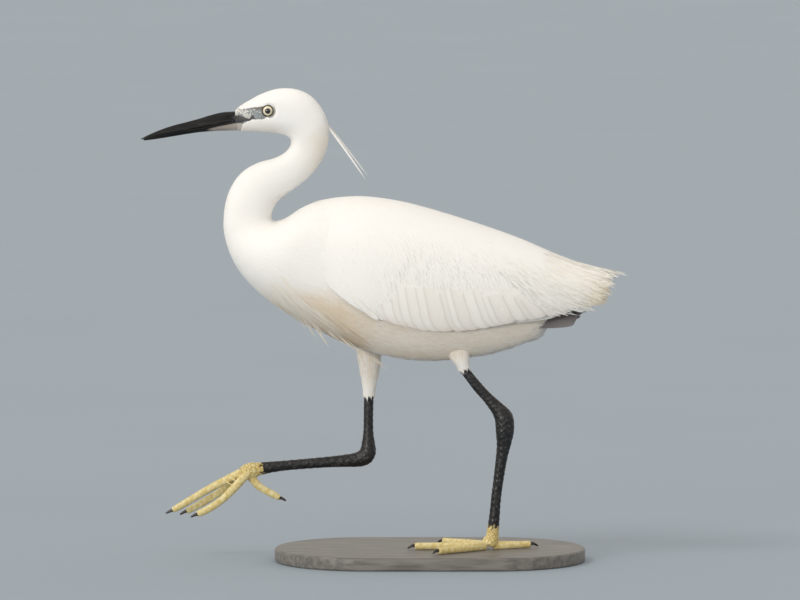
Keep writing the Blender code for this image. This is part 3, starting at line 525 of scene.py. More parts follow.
def lay_coat(name, count, first, last, wanted, length, width, thick, lift, finish, slot, sway=0.16,
    stain=None, seed=1):
    """Short feathers over part of the body: each starts in the skin and lies back along it."""
    place, turn, rng = even_roots(count, first, last, wanted, seed)
    number = len(place)
    _, _, run, cross = frame_on(flesh, place, turn, 0.0, 0.02, 0.02)
    long = length(place, turn) * rng.uniform(0.75, 1.2, number)
    angle = rng.normal(0, sway, number)
    d_place = np.clip(long * np.cos(angle) / np.linalg.norm(run, axis=-1), 0, 4.0)
    d_turn = long * np.sin(angle) / np.maximum(np.linalg.norm(cross, axis=-1), 0.004)
    t = LIE[None]
    p = np.minimum(place[:, None] + d_place[:, None] * t, 36.0)
    q = turn[:, None] + d_turn[:, None] * t
    low = -depth_at(place)[:, None] - 0.00015
    high = (lift(place, turn) * rng.uniform(0.1, 1.3, number))[:, None]
    spot, normal, _, _ = frame_on(flesh, p, q, low + (high - low) * np.array((0.0, 0.92, 1.0)), 0.02, 0.02)
    direction = unit(np.gradient(spot, axis=1))
    across = unit(np.cross(normal, direction))
    wide = (width(place, turn) * rng.uniform(0.8, 1.25, number))[:, None] * np.array((0.75, 1.0, 0.05))
    roots = np.stack((place / 37, (turn / (2 * math.pi)) % 1), -1)
    tint = np.zeros(number) if stain is None else stain(spot[:, -1])
    return lay_blades(
        name, blade_form(3, 3), spot, across, normal, wide, np.full(number, thick), roots,
        rng.random(number), np.clip(tint * rng.uniform(0.85, 1.15, number), 0, 1), finish, slot,
    )


head_finish = plume_finish("head_feathers", (0.88, 0.865, 0.84), (0.92, 0.912, 0.89), (0.76, 0.70, 0.60))
coat_finish = plume_finish("body_feathers", (0.87, 0.85, 0.815), (0.915, 0.90, 0.87), (0.76, 0.635, 0.475))


def on_face(place, turn):
    spot = flesh(place, turn, 0.0)
    eye = np.hypot(spot[:, 0] - EYE.x - 0.0004, spot[:, 2] - EYE.z + 0.0003)
    open_skin = bareness(spot[:, 0], spot[:, 2]) * (np.abs(spot[:, 1]) > 0.003)
    return np.where((eye < 0.0068) | (open_skin > 0.4), 0.0, 1.0)


def head_length(place, turn):
    return np.interp(place, (0, 1.5, 3, 5, 8), (0.0028, 0.0034, 0.0048, 0.0065, 0.0085))


def neck_painted_shade(spot):
    """Painted shade: the back of the upper neck is painted beige where it lies in shade, and all else a faint cream.
    """
    x, z = spot[:, 0], spot[:, 2]
    rear = np.clip((x + 0.128) / 0.03, 0, 1) * np.clip((z - 0.325) / 0.03, 0,
        1) * np.clip((0.402 - z) / 0.025, 0, 1)
    return 0.38 * rear + 0.05


def chin_and_neck_painted_shade(spot):
    """Painted shade on the chin and cheek below the mouth, deeper towards the bottom, with the neck's painted shade.
    """
    x, z = spot[:, 0], spot[:, 2]
    return 0.45 * np.clip((0.4000 - z) / 0.010, 0, 1) * np.clip((-0.110 - x) / 0.03, 0, 1) + neck_painted_shade(spot)


lay_coat(
    "head_feathers", 13500, 0.0, 7.0, on_face, head_length,
    lambda p, q: np.interp(p, (0, 7), (0.0013, 0.0019)), 0.00013,
    lambda p, q: np.full(len(p), 0.00005), head_finish, "head_plumage", stain=chin_and_neck_painted_shade, seed=3,
)
for n, (first, last, count) in enumerate(((6.6, 11.0, 10200), (11.0, 15.0, 10200), (15.0, 19.0, 10200))):
    lay_coat(
        f"neck_feathers_{n + 1}", count, first, last, lambda p, q: np.ones(len(p)),
        lambda p, q: np.interp(p, (6, 12, 19), (0.0085, 0.0105, 0.0140)),
        lambda p, q: np.interp(p, (6, 19), (0.0017, 0.0024)), 0.00015,
        lambda p, q: np.full(len(p), 0.0002), coat_finish, "white_plumage", sway=0.12, stain=neck_painted_shade,
            seed=11 + n,
    )


def belly_cream_and_shade(spot):
    """Cream breast and belly, yellowed by water and mud on the lower breast; the cream deepens towards the bottom,
    partly the plumage's own and partly painted shade, and the belly's lower edge is darkened with painted shade.
    """
    x, z = spot[:, 0], spot[:, 2]
    cream = 0.58 * np.clip((0.2650 - z) / 0.040, 0, 1) + 0.25 * np.clip((0.1960 - z) / 0.014, 0, 1)
    return 0.92 * cream + 0.95 * np.exp(-((x + 0.100) / 0.034) ** 2) * np.clip((0.2480 - z) / 0.032, 0, 1)


def trunk_wanted(place, turn):
    """Sparse where the shoulder's and the wing's own feathers lie over the trunk."""
    angle = np.degrees(np.abs((turn + math.pi) % (2 * math.pi) - math.pi))
    return np.where((place > 24.8) & (angle < np.interp(place, (24.8, 27, 33), (60, 100, 104))), 0.05, 1.0)


for n, (first, last, count) in enumerate(((18.6, 21.6, 11000), (21.6, 24.6, 12400), (24.6, 28.6, 8300),
    (28.6, 35.0, 8300))):
    lay_coat(
        f"trunk_feathers_{n + 1}", count, first, last, trunk_wanted,
        lambda p, q: np.interp(p, (18, 22, 30, 35), (0.0140, 0.0170, 0.0190, 0.0210)),
        lambda p, q: np.interp(p, (18, 24, 35), (0.0024, 0.0029, 0.0030)), 0.00018,
        lambda p, q: np.interp(p, (18, 28, 35), (0.00025, 0.0003, 0.0010)), coat_finish, "white_plumage",
            sway=0.12,
        stain=belly_cream_and_shade, seed=21 + n,
    )

# loose ends: fluff below the tail, frayed feathers at the nape, behind the neck and in the throat's notch
FLUFF = (  # places, turns (deg), count, length, how far the tips stand off
    (32.6, 35.0, 128, 232, 520, 0.020, 0.0050),
    (30.0, 33.0, 150, 210, 260, 0.015, 0.0028),
    (25.0, 30.0, 165, 195, 300, 0.014, 0.0022),
    (6.2, 7.8, -34, 34, 26, 0.007, 0.0016),
    (12.2, 13.2, -30, 30, 26, 0.008, 0.0024),
    (16.6, 17.6, -40, 40, 30, 0.007, 0.0020),
)
rng = np.random.default_rng(33)
made = []
for first, last, low, high, count, long, stand in FLUFF:
    place, turn = rng.uniform(first, last, count), np.radians(rng.uniform(low, high, count))
    _, _, run, cross = frame_on(flesh, place, turn, 0.0, 0.02, 0.02)
    reach = long * rng.uniform(0.6, 1.2, count)
    way = rng.normal(0, 0.22, count)
    t = np.linspace(0, 1, 5)[None]
    p = np.minimum(place[:, None] + (reach * np.cos(way) / np.linalg.norm(run, axis=-1))[:, None] * t, 36.0)
    q = turn[:, None] + (reach * np.sin(way) / np.maximum(np.linalg.norm(cross, axis=-1), 0.006))[:, None] * t
    lift = -0.001 + (stand * rng.uniform(0.2, 1.0, count))[:, None] * t ** 1.5 + 0.001 * np.minimum(1, 3 * t)
    spot, normal, _, _ = frame_on(flesh, p, q, lift, 0.02, 0.02)
    made.append((spot, unit(np.cross(normal, unit(np.gradient(spot, axis=1)))), normal, place, turn))
spot, across, normal, place, turn = (np.concatenate([m[k] for m in made]) for k in range(5))
count = len(place)
wide = rng.uniform(0.0004, 0.0009, count)[:, None] * np.array((0.8, 1.0, 0.9, 0.6, 0.1))
lay_blades(
    "loose_fluff", blade_form(5, 3), spot, across, normal, wide, np.full(count, 0.0002),
    np.stack((place / 37, (turn / (2 * math.pi)) % 1), -1), rng.random(count), rng.uniform(0, 0.35, count),
    coat_finish, "white_plumage",
)

# ---------------------------------------------------------------- folded wings
# Each wing lies folded against the side: broad smooth vanes in tiers, from small ones along the
# fold at the front to the long ones that reach the tail, over a firm pad of short down.
ENVELOPE = np.array((
    (-0.1350, 0.3074, 0.2289, 0.0388),
    (-0.1150, 0.3208, 0.2165, 0.0426),
    (-0.0936, 0.3264, 0.2062, 0.0442),
    (-0.0720, 0.3288, 0.1975, 0.0482),
    (-0.0540, 0.3285, 0.1915, 0.0506),
    (-0.0270, 0.3246, 0.1844, 0.0515),
    (0.0000, 0.3178, 0.1821, 0.0505),
    (0.0270, 0.3096, 0.1839, 0.0480),
    (0.0540, 0.3008, 0.1893, 0.0440),
    (0.0810, 0.2910, 0.1965, 0.0385),
    (0.1080, 0.2795, 0.2055, 0.0320),
    (0.1350, 0.2694, 0.2163, 0.0250),
    (0.1530, 0.2648, 0.2217, 0.0190),
    (0.1692, 0.2600, 0.2280, 0.0120),
    (0.1860, 0.2550, 0.2330, 0.0080),
    (0.2060, 0.2510, 0.2380, 0.0040),
))
WING_EDGE = np.array((
    (-0.0960, 84.0, 93.0),
    (-0.0870, 66.0, 101.0),
    (-0.0720, 56.0, 109.0),
    (-0.0495, 49.0, 116.0),
    (-0.0270, 44.0, 119.0),
    (0.0000, 39.0, 121.0),
    (0.0270, 37.0, 121.0),
    (0.0540, 38.0, 119.0),
    (0.0810, 42.0, 115.0),
    (0.1050, 54.0, 110.0),
    (0.1300, 74.0, 104.0),
))


def cloak(side):
    """The form that the folded wings and long plumes lie on: points at x, an angle from the back, a lift."""

    def surface(x, angle, lift):
        x, angle, lift = np.broadcast_arrays(np.asarray(x, float), angle, lift)
        row = along_rows(ENVELOPE[:, 1:], np.interp(x, ENVELOPE[:, 0], np.arange(len(ENVELOPE))))
        top, low, half = row[..., 0], row[..., 1], row[..., 2]
        rise = bend(np.cos(angle), 2.2) * ((top - low) / 2 + lift)
        out = bend(np.sin(angle), 2.2) * (half + lift)
        return np.stack((x, side * out, (top + low) / 2 + rise), -1)

    return surface


def wing_pad(side):
    def shape(u, v):
        x = -0.0960 + 0.2260 * u
        high, low = (np.radians(np.interp(x, WING_EDGE[:, 0], WING_EDGE[:, k])) for k in (1, 2))
        over = np.clip(np.where(v < 0.5, v * 2, 2 - v * 2), 0, 1)
        edge = np.clip(over / 0.38, 0, 1) * np.clip((1 - over) / 0.08, 0, 1)
        edge = edge * np.clip(u / np.interp(over, (0.3, 0.8), (0.16, 0.05)), 0, 1) * np.clip((1 - u) / 0.06,
            0, 1)
        lift = np.where(v < 0.5, -0.0115 + 0.0082 * np.sin(edge * math.pi / 2), -0.0115)
        return cloak(side)(x, high + (low - high) * over, lift)

    return shape


pad_finish, w, feed = new_finish("wing_pad", Sheen_Weight=0.2)
down = w.noise(160.0, 5.0, (1.0, 1.0, 0.4))
feed("Base Color", down.blend((0.66, 0.64, 0.61), (0.82, 0.81, 0.79)))
feed("Roughness", 0.7 + 0.2 * down)
feed("Normal", w.bump(down, 0.5, 0.0005))
for name, side in (("left", -1), ("right", 1)):
    pad = sheet_piece(f"wing_pad_{name}", 90, 40, wing_pad(side), pad_finish)
    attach(pad, "root")
    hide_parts(f"wing_{name}")


def wing_low(x):
    """Angle of the wing's lower edge."""
    return np.interp(x, WING_EDGE[:, 0], WING_EDGE[:, 2])


VANE_AT = np.array((0, 0.3, 0.6, 0.8, 0.89, 0.95, 0.985, 1.0))  # stations along a vane


def lay_tier(count, root_a, root_b, tip_a, tip_b, width, thick, low, high, rng):
    """Overlapping vanes from the first to the last: centre lines and widths on the cloak.

    A tip's angle counts from the wing's lower edge where it is below 20, and from the back otherwise.
    """
    t = VANE_AT
    share = np.linspace(0, 1, count)[:, None] + rng.normal(0, 0.26 / count, (count, 1))
    (rx, ra), (tx, ta) = ([a + (b - a) * share for a, b in zip(first, last)] for first,
        last in ((root_a, root_b), (tip_a, tip_b)))
    ta = np.where(ta < 20, wing_low(tx) + ta + rng.normal(0, 0.15, (count, 1)), ta)
    x = rx + (tx - rx) * t
    angle = np.radians(ra + (ta - ra) * t)
    lift = low + (high - low) * np.minimum(1, 2.4 * t) + 0 * x
    shape = np.where(t < 0.8, 0.6 + 0.4 * np.minimum(t / 0.3, 1),
        np.sqrt(1 - np.maximum(0, (t - 0.8) / 0.2) ** 2.4))
    wide = width * shape[None] * rng.uniform(0.92, 1.08, (count, 1))
    return x, angle, lift, wide, np.full(count, thick)


# count, first and last root, first and last tip (x, angle), width, thickness, lift of root and tip
WING_TIERS = (
    (6, (0.0300, 112), (0.0300, 98), (0.1200, 118), (0.1500, 108), 0.0120, 0.0002, -0.0065, -0.0040),
    (21, (-0.0640, 42), (0.0900, 50), (-0.0540, 1.0), (0.1290, 0.5), 0.0300, 0.00018, -0.0012, -0.0004),
    (9, (0.0300, 50), (0.0560, 30), (0.1450, 98), (0.1560, 56), 0.0170, 0.00018, -0.0042, 0.0000),
    (3, (-0.0780, 99), (-0.0750, 105), (-0.0540, 0.5), (-0.0460, 2.0), 0.0050, 0.0004, -0.0026, 0.0012),
)


def lay_vanes(name, side, tiers, finish, rng):
    """Broad vanes that bend with the cloak from edge to edge, each with its hind edge over the next, as one mesh."""
    form = blade_form(8, 8)
    station, a, h, faces = form
    rows = [lay_tier(*row, rng) for row in tiers]
    x, angle, lift, wide = (np.concatenate([r[k] for r in rows]) for k in range(4))
    thick = np.concatenate([r[4] for r in rows])
    surface = cloak(side)
    _, _, run, cross = frame_on(surface, x, angle, lift, 0.001, 0.02)
    reach = np.linalg.norm(cross, axis=-1)
    dx, da = np.gradient(x, axis=1), np.gradient(angle, axis=1) * reach
    size = np.hypot(dx, da)
    dx, da = dx / size, da / size
    off = a[None] * wide[:, station] / 2
    px = x[:, station] - da[:, station] * off
    pa = angle[:, station] + dx[:, station] * off / reach[:, station]
    tilt = (0.0003 * a[None] + 0.0002 * np.maximum(a, 0)[None] ** 4) * (wide[:, station] / 0.02)
    tilt = tilt * np.minimum(1, VANE_AT[station] / 0.75)[None] ** 1.5
    spot, normal, _, _ = frame_on(surface, px, pa, lift[:, station] + tilt + thick[:, None] * h[None],
        0.001, 0.02)
    hind = unit(np.stack((np.ones_like(px), 0 * px, 0 * px - 0.3), -1))
    facing = unit(normal + hind * (0.14 * np.maximum(a, 0) ** 3)[None, :, None])
    count = len(x)
    roots = np.stack(((x[:, 0] + 0.12) / 0.30 * 0.9 + 0.05, angle[:, 0] / math.pi), -1)
    return join_blades(
        name, form, spot, facing, roots, rng.random(count), rng.uniform(0, 0.25, count), finish,
    )


def lay_cloak_coat(name, side, count, low, high, wanted, heading, length, width, thick, base, tip_lift,
    finish, seed, tint, sway=0.09):
    """Soft feathers over the folded wing and the shoulder: they lie on the cloak, each turned to its heading."""
    rng = np.random.default_rng(seed)
    n = np.arange(count * 3) + seed * 131
    x = low[0] + (high[0] - low[0]) * ((n * 0.7548776662466927) % 1)
    angle = np.radians(low[1] + (high[1] - low[1]) * ((n * 0.5698402909980532) % 1))
    surface = cloak(side)
    _, _, _, cross = frame_on(surface, x, angle, 0.0, 0.001, 0.02)
    reach = np.linalg.norm(cross, axis=-1)
    weight = reach * wanted(x, np.degrees(angle))
    keep = rng.random(len(n)) < weight * (count / weight.sum())
    x, angle, reach = x[keep], angle[keep], np.maximum(reach[keep], 0.015)
    number = len(x)
    long = length(x, np.degrees(angle)) * rng.uniform(0.8, 1.2, number)
    way = np.radians(heading(x, np.degrees(angle))) + rng.normal(0, sway, number)
    t = LIE[None]
    px = x[:, None] + (long * np.cos(way))[:, None] * t
    pa = angle[:, None] + (long * np.sin(way) / reach)[:, None] * t
    pa = np.minimum(pa, np.radians(wing_low(px) + 1.5 + 40 * (px < -0.096) + 7 * np.clip((px - 0.095) / 0.03, 0, 1)))
    px = np.minimum(px, 0.152 + 0.014 * rng.random((number, 1)) + 0.002 * t)
    lift = base(px, np.degrees(pa) + rng.normal(0, 6.5, (number, 1))) - 0.0016 * (1 - np.minimum(1,
        2 * t)) + tip_lift * rng.uniform(0.1, 1.0, number)[:, None]
    spot, normal, _, _ = frame_on(surface, px, pa, lift, 0.001, 0.02)
    across = unit(np.cross(normal, unit(np.gradient(spot, axis=1))))
    wide = width * rng.uniform(0.8, 1.2, number)[:, None] * np.array((0.75, 1.0, 0.08))
    roots = np.stack(((x + 0.14) / 0.36, angle / math.pi), -1)
    return lay_blades(
        name, blade_form(3, 3), spot, across, normal, wide, np.full(number, thick), roots,
        rng.random(number), np.clip(tint(x, np.degrees(angle)) * rng.uniform(0.85, 1.15, number), 0, 1),
            finish, "white_plumage",
    )


def wing_heading(x, angle):
    return np.clip((angle - 14) * 1.35, 4, 72) * np.interp(x, (-0.135, -0.09, 0.0, 0.08, 0.15),
        (0.8, 0.9, 1.0, 0.75, 0.4))


def shoulder_base(x, angle):
    """The soft feathers lie a little over the vanes and come down to them at their lower end."""
    lower = coat_lower(x)
    level = 0.0003 - 0.0012 * np.clip((angle - lower + 34) / 34, 0, 1) * np.clip((x + 0.055) / 0.02, 0, 1)
    front = np.clip((-0.084 - x) / 0.028, 0, 1)
    return level - front * 0.0003 - 0.0010 * np.clip((-0.088 - x) / 0.012, 0,
        1) * np.clip((angle - lower + 24) / 24, 0, 1)


def coat_lower(x):
    return np.interp(
        x, (-0.135, -0.100, -0.088, -0.072, -0.052, -0.038, -0.020, 0.040, 0.090),
        (84, 92, 101, 111, 117, 108, 86, 86, 78),
    )


def over_shoulder(x, angle):
    return np.clip((coat_lower(x) - angle) / 14, 0, 1) * np.clip((x + 0.112) / 0.010, 0, 1)


# The vanes darken to a warm grey-brown towards their lower ends: partly cream plumage, partly painted shade on the
# wing's lower side.
vane_finish = plume_finish(
    "wing_feathers", (0.90, 0.875, 0.83), (0.74, 0.665, 0.60), (0.62, 0.52, 0.42), barbs=40.0, depth=0.00008,
    relief=0.15, ramp=(0.50, 1.0), rim=0.30, hem_shadow=1.0,
)
rear_finish = plume_finish("rear_feathers", (0.86, 0.83, 0.78), (0.90, 0.88, 0.84), (0.70, 0.61, 0.48))


def over_rear(x, angle):
    """Behind the wing's vanes and over the ends of the innermost ones."""
    front = np.interp(angle, (0, 30, 60, 90, 110, 125), (0.070, 0.070, 0.082, 0.098, 0.112, 0.120))
    return np.clip((x - front) / 0.012, 0, 1)


def rear_heading(x, angle):
    return np.clip(angle * 0.75, 6, 62)


for name, side in (("left", -1), ("right", 1)):
    lay_vanes(f"wing_feathers_{name}", side, WING_TIERS, vane_finish, np.random.default_rng(41 + side))
    # The shoulder feathers' stain deepens down the wing's side: partly cream plumage, partly painted shade.
    lay_cloak_coat(
        f"shoulder_feathers_{name}", side, 15500, (-0.112, 0), (0.090, 120), over_shoulder, wing_heading,
        lambda x, a: np.interp(x, (-0.13, -0.06, 0.05), (0.015, 0.017, 0.020)), 0.0026, 0.00016,
            shoulder_base, 0.0003,
        coat_finish, 51 + side, lambda x,
            a: 0.02 + 0.16 * np.clip((a - 50) / 40, 0, 1) * np.clip((x + 0.075) / 0.05, 0, 1),
    )
    # The rear feathers' stain deepens down the side and at the rear end: partly cream plumage, partly painted shade.
    lay_cloak_coat(
        f"rear_feathers_{name}", side, 8000, (0.060, 1), (0.149, 124), over_rear, rear_heading,
        lambda x, a: np.full(len(x), 0.018), 0.0022, 0.00016, lambda x, a: 0 * x - 0.0002, 0.0004,
            rear_finish, 55 + side,
        lambda x, a: 0.1 + 0.5 * np.clip((a - 60) / 60, 0, 1) + 0.9 * np.clip((x - 0.124) / 0.02, 0,
            1) * np.clip((a - 20) / 40, 0, 1),
    )

# ---------------------------------------------------------------- tail
# Twelve short square-ended vanes lie in a narrow stack behind the body, half hidden by the plumes.
# The tail is white: its dark grey is painted shade under the body and the plumes.
tail_shade_finish = plume_finish("tail_feathers", (0.120, 0.115, 0.118), (0.20, 0.19, 0.19), (0.3, 0.29, 0.28),
    barbs=30.0, depth=0.00012)
rng = np.random.default_rng(5)
n = np.arange(16)
side = np.where(n % 2 == 0, -1.0, 1.0)
order = n // 2
t = np.array((0, 0.25, 0.5, 0.75, 0.9, 0.97, 1.0))
root = np.stack((0.0900 + 0 * order, side * (0.0006 + 0.0013 * order), 0.2220 - 0.0011 * order), -1)
tip = np.stack((0.1400 - 0.0016 * order + rng.uniform(-0.005, 0.002, 16), side * (0.0010 + 0.0017 * order),
    0.2258 - 0.0013 * order), -1)
centre = root[:, None] + (tip - root)[:, None] * t[:, None]
normal = unit(np.stack((0 * side, side * (0.3 + 0.22 * order), 1 + 0 * side), -1))[:, None] + 0 * centre
across = unit(np.cross(normal, unit(np.gradient(centre, axis=1))))
shape = np.array((0.6, 0.85, 1.0, 0.96, 0.80, 0.52, 0.10))
tail = lay_blades(
    "tail_feathers", blade_form(7, 8), centre, across, normal, 0.0085 * shape[None] * np.ones((16, 1)),
        np.full(16, 0.0004),
    np.stack((0.3 + 0.03 * order, 0.5 + 0.05 * side), -1), rng.random(16), np.zeros(16), tail_shade_finish,
        "white_plumage",
)
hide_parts("tail")

# ---------------------------------------------------------------- long plumes
# In the breeding season long loose plumes grow from the back, the breast and the nape. Each has a
# fine shaft with barbs that don't hook together, so the ends of the bunch are open and wispy.
plume_white = plume_finish("long_plumes", (0.88, 0.86, 0.81), (0.93, 0.915, 0.875), (0.84, 0.77, 0.62))


def back_plumes(side, rng):
    count, barbs, stations = 72, 24, 8
    t = np.linspace(0, 1, stations)
    share = (np.arange(count) + rng.uniform(0, 1, count)) / count
    share = share ** 0.85
    rx = -0.030 + 0.065 * share + rng.normal(0, 0.004, count)
    ra = 30 - 28 * share + rng.normal(0, 1.2, count)
    tx = np.interp(share, (0, 0.15, 0.35, 0.65, 0.85, 1.0),
        (0.112, 0.134, 0.149, 0.157, 0.163, 0.174)) + rng.normal(0, 0.0025, count)
    ta = np.interp(share, (0, 0.15, 0.35, 0.65, 0.85, 1.0), (114, 117, 110, 90, 50, 5)) + rng.normal(0, 3.0,
        count)
    bright = rng.random(count) < 0.10  # a few long ones hang over the tail
    ta = np.where(bright & (share < 0.45), 126, ta)
    x = rx[:, None] + (tx - rx)[:, None] * t
    angle = np.radians(ra[:, None] + (ta - ra)[:, None] * (0.45 * t + 0.55 * t ** 2.5))
    lift = -0.0040 + 0.0042 * np.minimum(1, 2.6 * t)[None] + rng.uniform(-0.0003, 0.0002,
        count)[:, None] + 0.0006 * t ** 4
    surface = cloak(side)
    spot, normal, run, cross = frame_on(surface, x, angle, lift, 0.001, 0.02)
    across = unit(np.cross(normal, unit(np.gradient(spot, axis=1))))
    shape = np.interp(t, (0, 0.3, 0.8, 1), (0.8, 1.0, 0.6, 0.1))
    wide = np.where(bright, 0.0028, rng.uniform(0.0008, 0.0020, count))[:, None] * shape
    roots = np.stack(((x[:, 0] + 0.12) / 0.34, angle[:, 0] / math.pi), -1)
    shafts = (spot, across, normal, wide, np.full(count, 0.00016), roots)
    # loose barbs of the outer half
    owner = np.repeat(np.arange(count), barbs)
    at = np.tile(np.linspace(0, 1, barbs) ** 0.8 * 0.55 + 0.42, count) + rng.uniform(-0.01, 0.01,
        count * barbs)
    way = np.where(rng.random(len(owner)) < 0.5, -1.0, 1.0) * rng.uniform(0.03, 0.17, len(owner))
    long = rng.uniform(0.008, 0.020, len(owner)) * np.interp(at, (0.4, 0.7, 1), (0.9, 0.9, 0.45))
    bx = np.array([np.interp(a, t, x[o]) for a, o in zip(at, owner)])
    ba = np.array([np.interp(a, t, angle[o]) for a, o in zip(at, owner)])
    bl = np.array([np.interp(a, t, lift[o]) for a, o in zip(at, owner)])
    reach = np.array([np.interp(a, t, np.linalg.norm(cross[o], axis=-1)) for a, o in zip(at, owner)])
    dx = np.array([np.interp(a, t, np.gradient(x[o])) for a, o in zip(at, owner)])
    da = np.array([np.interp(a, t, np.gradient(angle[o])) for a, o in zip(at, owner)]) * reach
    heading = np.arctan2(da, dx) + way
    s = np.linspace(0, 1, 5)
    px = bx[:, None] + (long * np.cos(heading))[:, None] * s
    pa = ba[:, None] + (long * np.sin(heading) / reach)[:, None] * s
    pl = bl[:, None] + rng.uniform(-0.0003, 0.0002,
        len(owner))[:, None] * s + 0.0016 * np.clip((px - 0.150) / 0.02, 0,
            1) * (rng.random(len(owner)) ** 2)[:, None]
    b_spot, b_normal, _, _ = frame_on(surface, np.minimum(px, 0.200), pa, pl, 0.001, 0.02)
    b_across = unit(np.cross(b_normal, unit(np.gradient(b_spot, axis=1))))
    b_wide = rng.uniform(0.0006, 0.0013, len(owner))[:, None] * np.interp(s, (0, 0.4, 1), (0.8, 1, 0.15))
    b_roots = np.stack(((bx + 0.12) / 0.34, ba / math.pi), -1)
    return shafts, (b_spot, b_across, b_normal, b_wide, np.full(len(owner), 0.0001), b_roots)


for name, side in (("left", -1), ("right", 1)):
    rng = np.random.default_rng(61 + side)
    shafts, barbs = back_plumes(side, rng)
    for part, stations, group in (("plumes", 8, shafts), ("barbs", 5, barbs)):
        count = len(group[0])
        end = group[0][:, -1]
        # cream stain at random towards the rear ends, and painted shade on the low rear ends
        tint = np.clip((end[:, 0] - 0.10) / 0.05, 0, 1) * rng.uniform(0.05, 0.45, count)
        tint += 0.5 * np.clip((end[:, 0] - 0.138) / 0.02, 0, 1) * np.clip((0.262 - end[:, 2]) / 0.02, 0, 1)
        lay_blades(f"back_{part}_{name}", blade_form(stations, 3), *group, rng.random(count), tint,
            plume_white, "white_plumage")


def hanging_plumes(name, starts, middles, ends, wide, thick, finish, stain, seed, stations=8, outward=None):
    """Plumes along curves through the air or over the coat: start, middle and end points (n, 3)."""
    rng = np.random.default_rng(seed)
    t = np.linspace(0, 1, stations)[None, :, None]
    spot = starts[:, None] * (1 - t) ** 2 + middles[:, None] * 2 * t * (1 - t) + ends[:, None] * t * t
    direction = unit(np.gradient(spot, axis=1))
    out = outward if outward is not None else np.array((-0.2, -1.0, 0.1))
    normal = unit(np.broadcast_to(out, spot.shape) - direction * (direction * out).sum(-1, keepdims=True))
    across = np.cross(normal, direction)
    shape = np.interp(t[0, :, 0], (0, 0.35, 0.75, 1.0), (0.7, 1.0, 0.8, 0.12))
    count = len(spot)
    roots = np.stack((0.3 + (starts[:, 0] + 0.2) * 1.5, 0.5 + starts[:, 1] * 5), -1) % 1
    return lay_blades(
        name, blade_form(stations, 3), spot, across, normal, wide[:, None] * shape, np.full(count, thick),
            roots,
        rng.random(count), stain, finish, "white_plumage",
    )


rng = np.random.default_rng(77)
count = 420
near = np.where(np.arange(count) % 3 < 2, -1.0, 1.0)
place = rng.uniform(20.4, 24.2, count)
turn = near * np.radians(rng.uniform(104, 142, count) + 6 * (place - 22))
t = np.linspace(0, 1, 8)[None]
p = place[:, None] + (rng.uniform(2.0, 3.0, count) + 0.25 * (24 - place))[:, None] * t
q = turn[:, None] + near[:, None] * np.radians(rng.uniform(30, 46, count))[:, None] * t
lift = -0.0014 + 0.0018 * np.minimum(1, 1.8 * t) + rng.uniform(0.0, 0.0014, count)[:, None] * t ** 3
spot, normal, _, _ = frame_on(flesh, p, q, lift, 0.02, 0.02)
across = unit(np.cross(normal, unit(np.gradient(spot, axis=1))))
wide = rng.uniform(0.0006, 0.0013, count)[:, None] * np.interp(t[0], (0, 0.35, 0.75, 1.0),
    (0.7, 1.0, 0.8, 0.12))
breast_finish = plume_finish("breast_plumes", (0.90, 0.865, 0.80), (0.90, 0.85, 0.76), (0.66, 0.50, 0.30))
low = np.clip((0.2440 - spot[:, 4, 2]) / 0.030, 0, 1)
lay_blades(
    "breast_plumes", blade_form(8, 3), spot, across, normal, wide, np.full(count, 0.00018),
    np.stack((place / 37, (turn / (2 * math.pi)) % 1), -1), rng.random(count),
        low * rng.uniform(0.15, 0.95, count),
    breast_finish, "white_plumage",
)
count = 46
share = rng.random(count)
y = rng.uniform(-0.022, 0.012, count)
start = np.stack((-0.1300 + 0.062 * share, y, 0.2330 - 0.034 * share), -1)
reach = rng.uniform(0.6, 1.25, count) * np.where(share > 0.7, 1.1, 0.8)
steep = np.where((share < 0.5) & (rng.random(count) < 0.5), 1.0, 0.0)  # a few hang clear of the breast
end = start + np.stack(((0.0260 - 0.0080 * steep) * reach, 0 * y, -(0.0215 + 0.0050 * steep) * reach), -1)
middle = (start + end) / 2 + np.stack((0.001 + 0 * y, 0 * y, -0.0022 * reach), -1)
hanging_plumes(
    "breast_plumes_free", start, middle, end, rng.uniform(0.0005, 0.0009, count), 0.0003, breast_finish,
    rng.uniform(0, 0.7, count), 78,
)

for side, tip in ((-1, (-0.0576, 0.3446)), (1, (-0.0556, 0.3474))):
    n = 7
    loose = np.linspace(-1, 1, n)
    start = np.stack((-0.0985 + 0.0002 * loose, side * 0.0012 + 0 * loose,
        0.4020 + 0.0003 * loose - 0.0008 * (side < 0)), -1)
    middle = np.stack((-0.0788 + 0.0004 * loose, side * 0.0030 + 0 * loose,
        0.3772 + 0.0003 * loose + 0.0010 * side), -1)
    reach = 1 - 0.22 * np.abs(loose)
    end = start + (np.array((tip[0], side * 0.0040, tip[1])) - start) * reach[:, None]
    middle = start + (middle - start) * reach[:, None]
    hanging_plumes(
        f"nape_plume_{'left' if side < 0 else 'right'}", start, middle, end,
        np.where(np.abs(loose) < 0.1, 0.0019, 0.0006), 0.0002, plume_white, np.zeros(n), 80 + side,
            stations=10,
    )

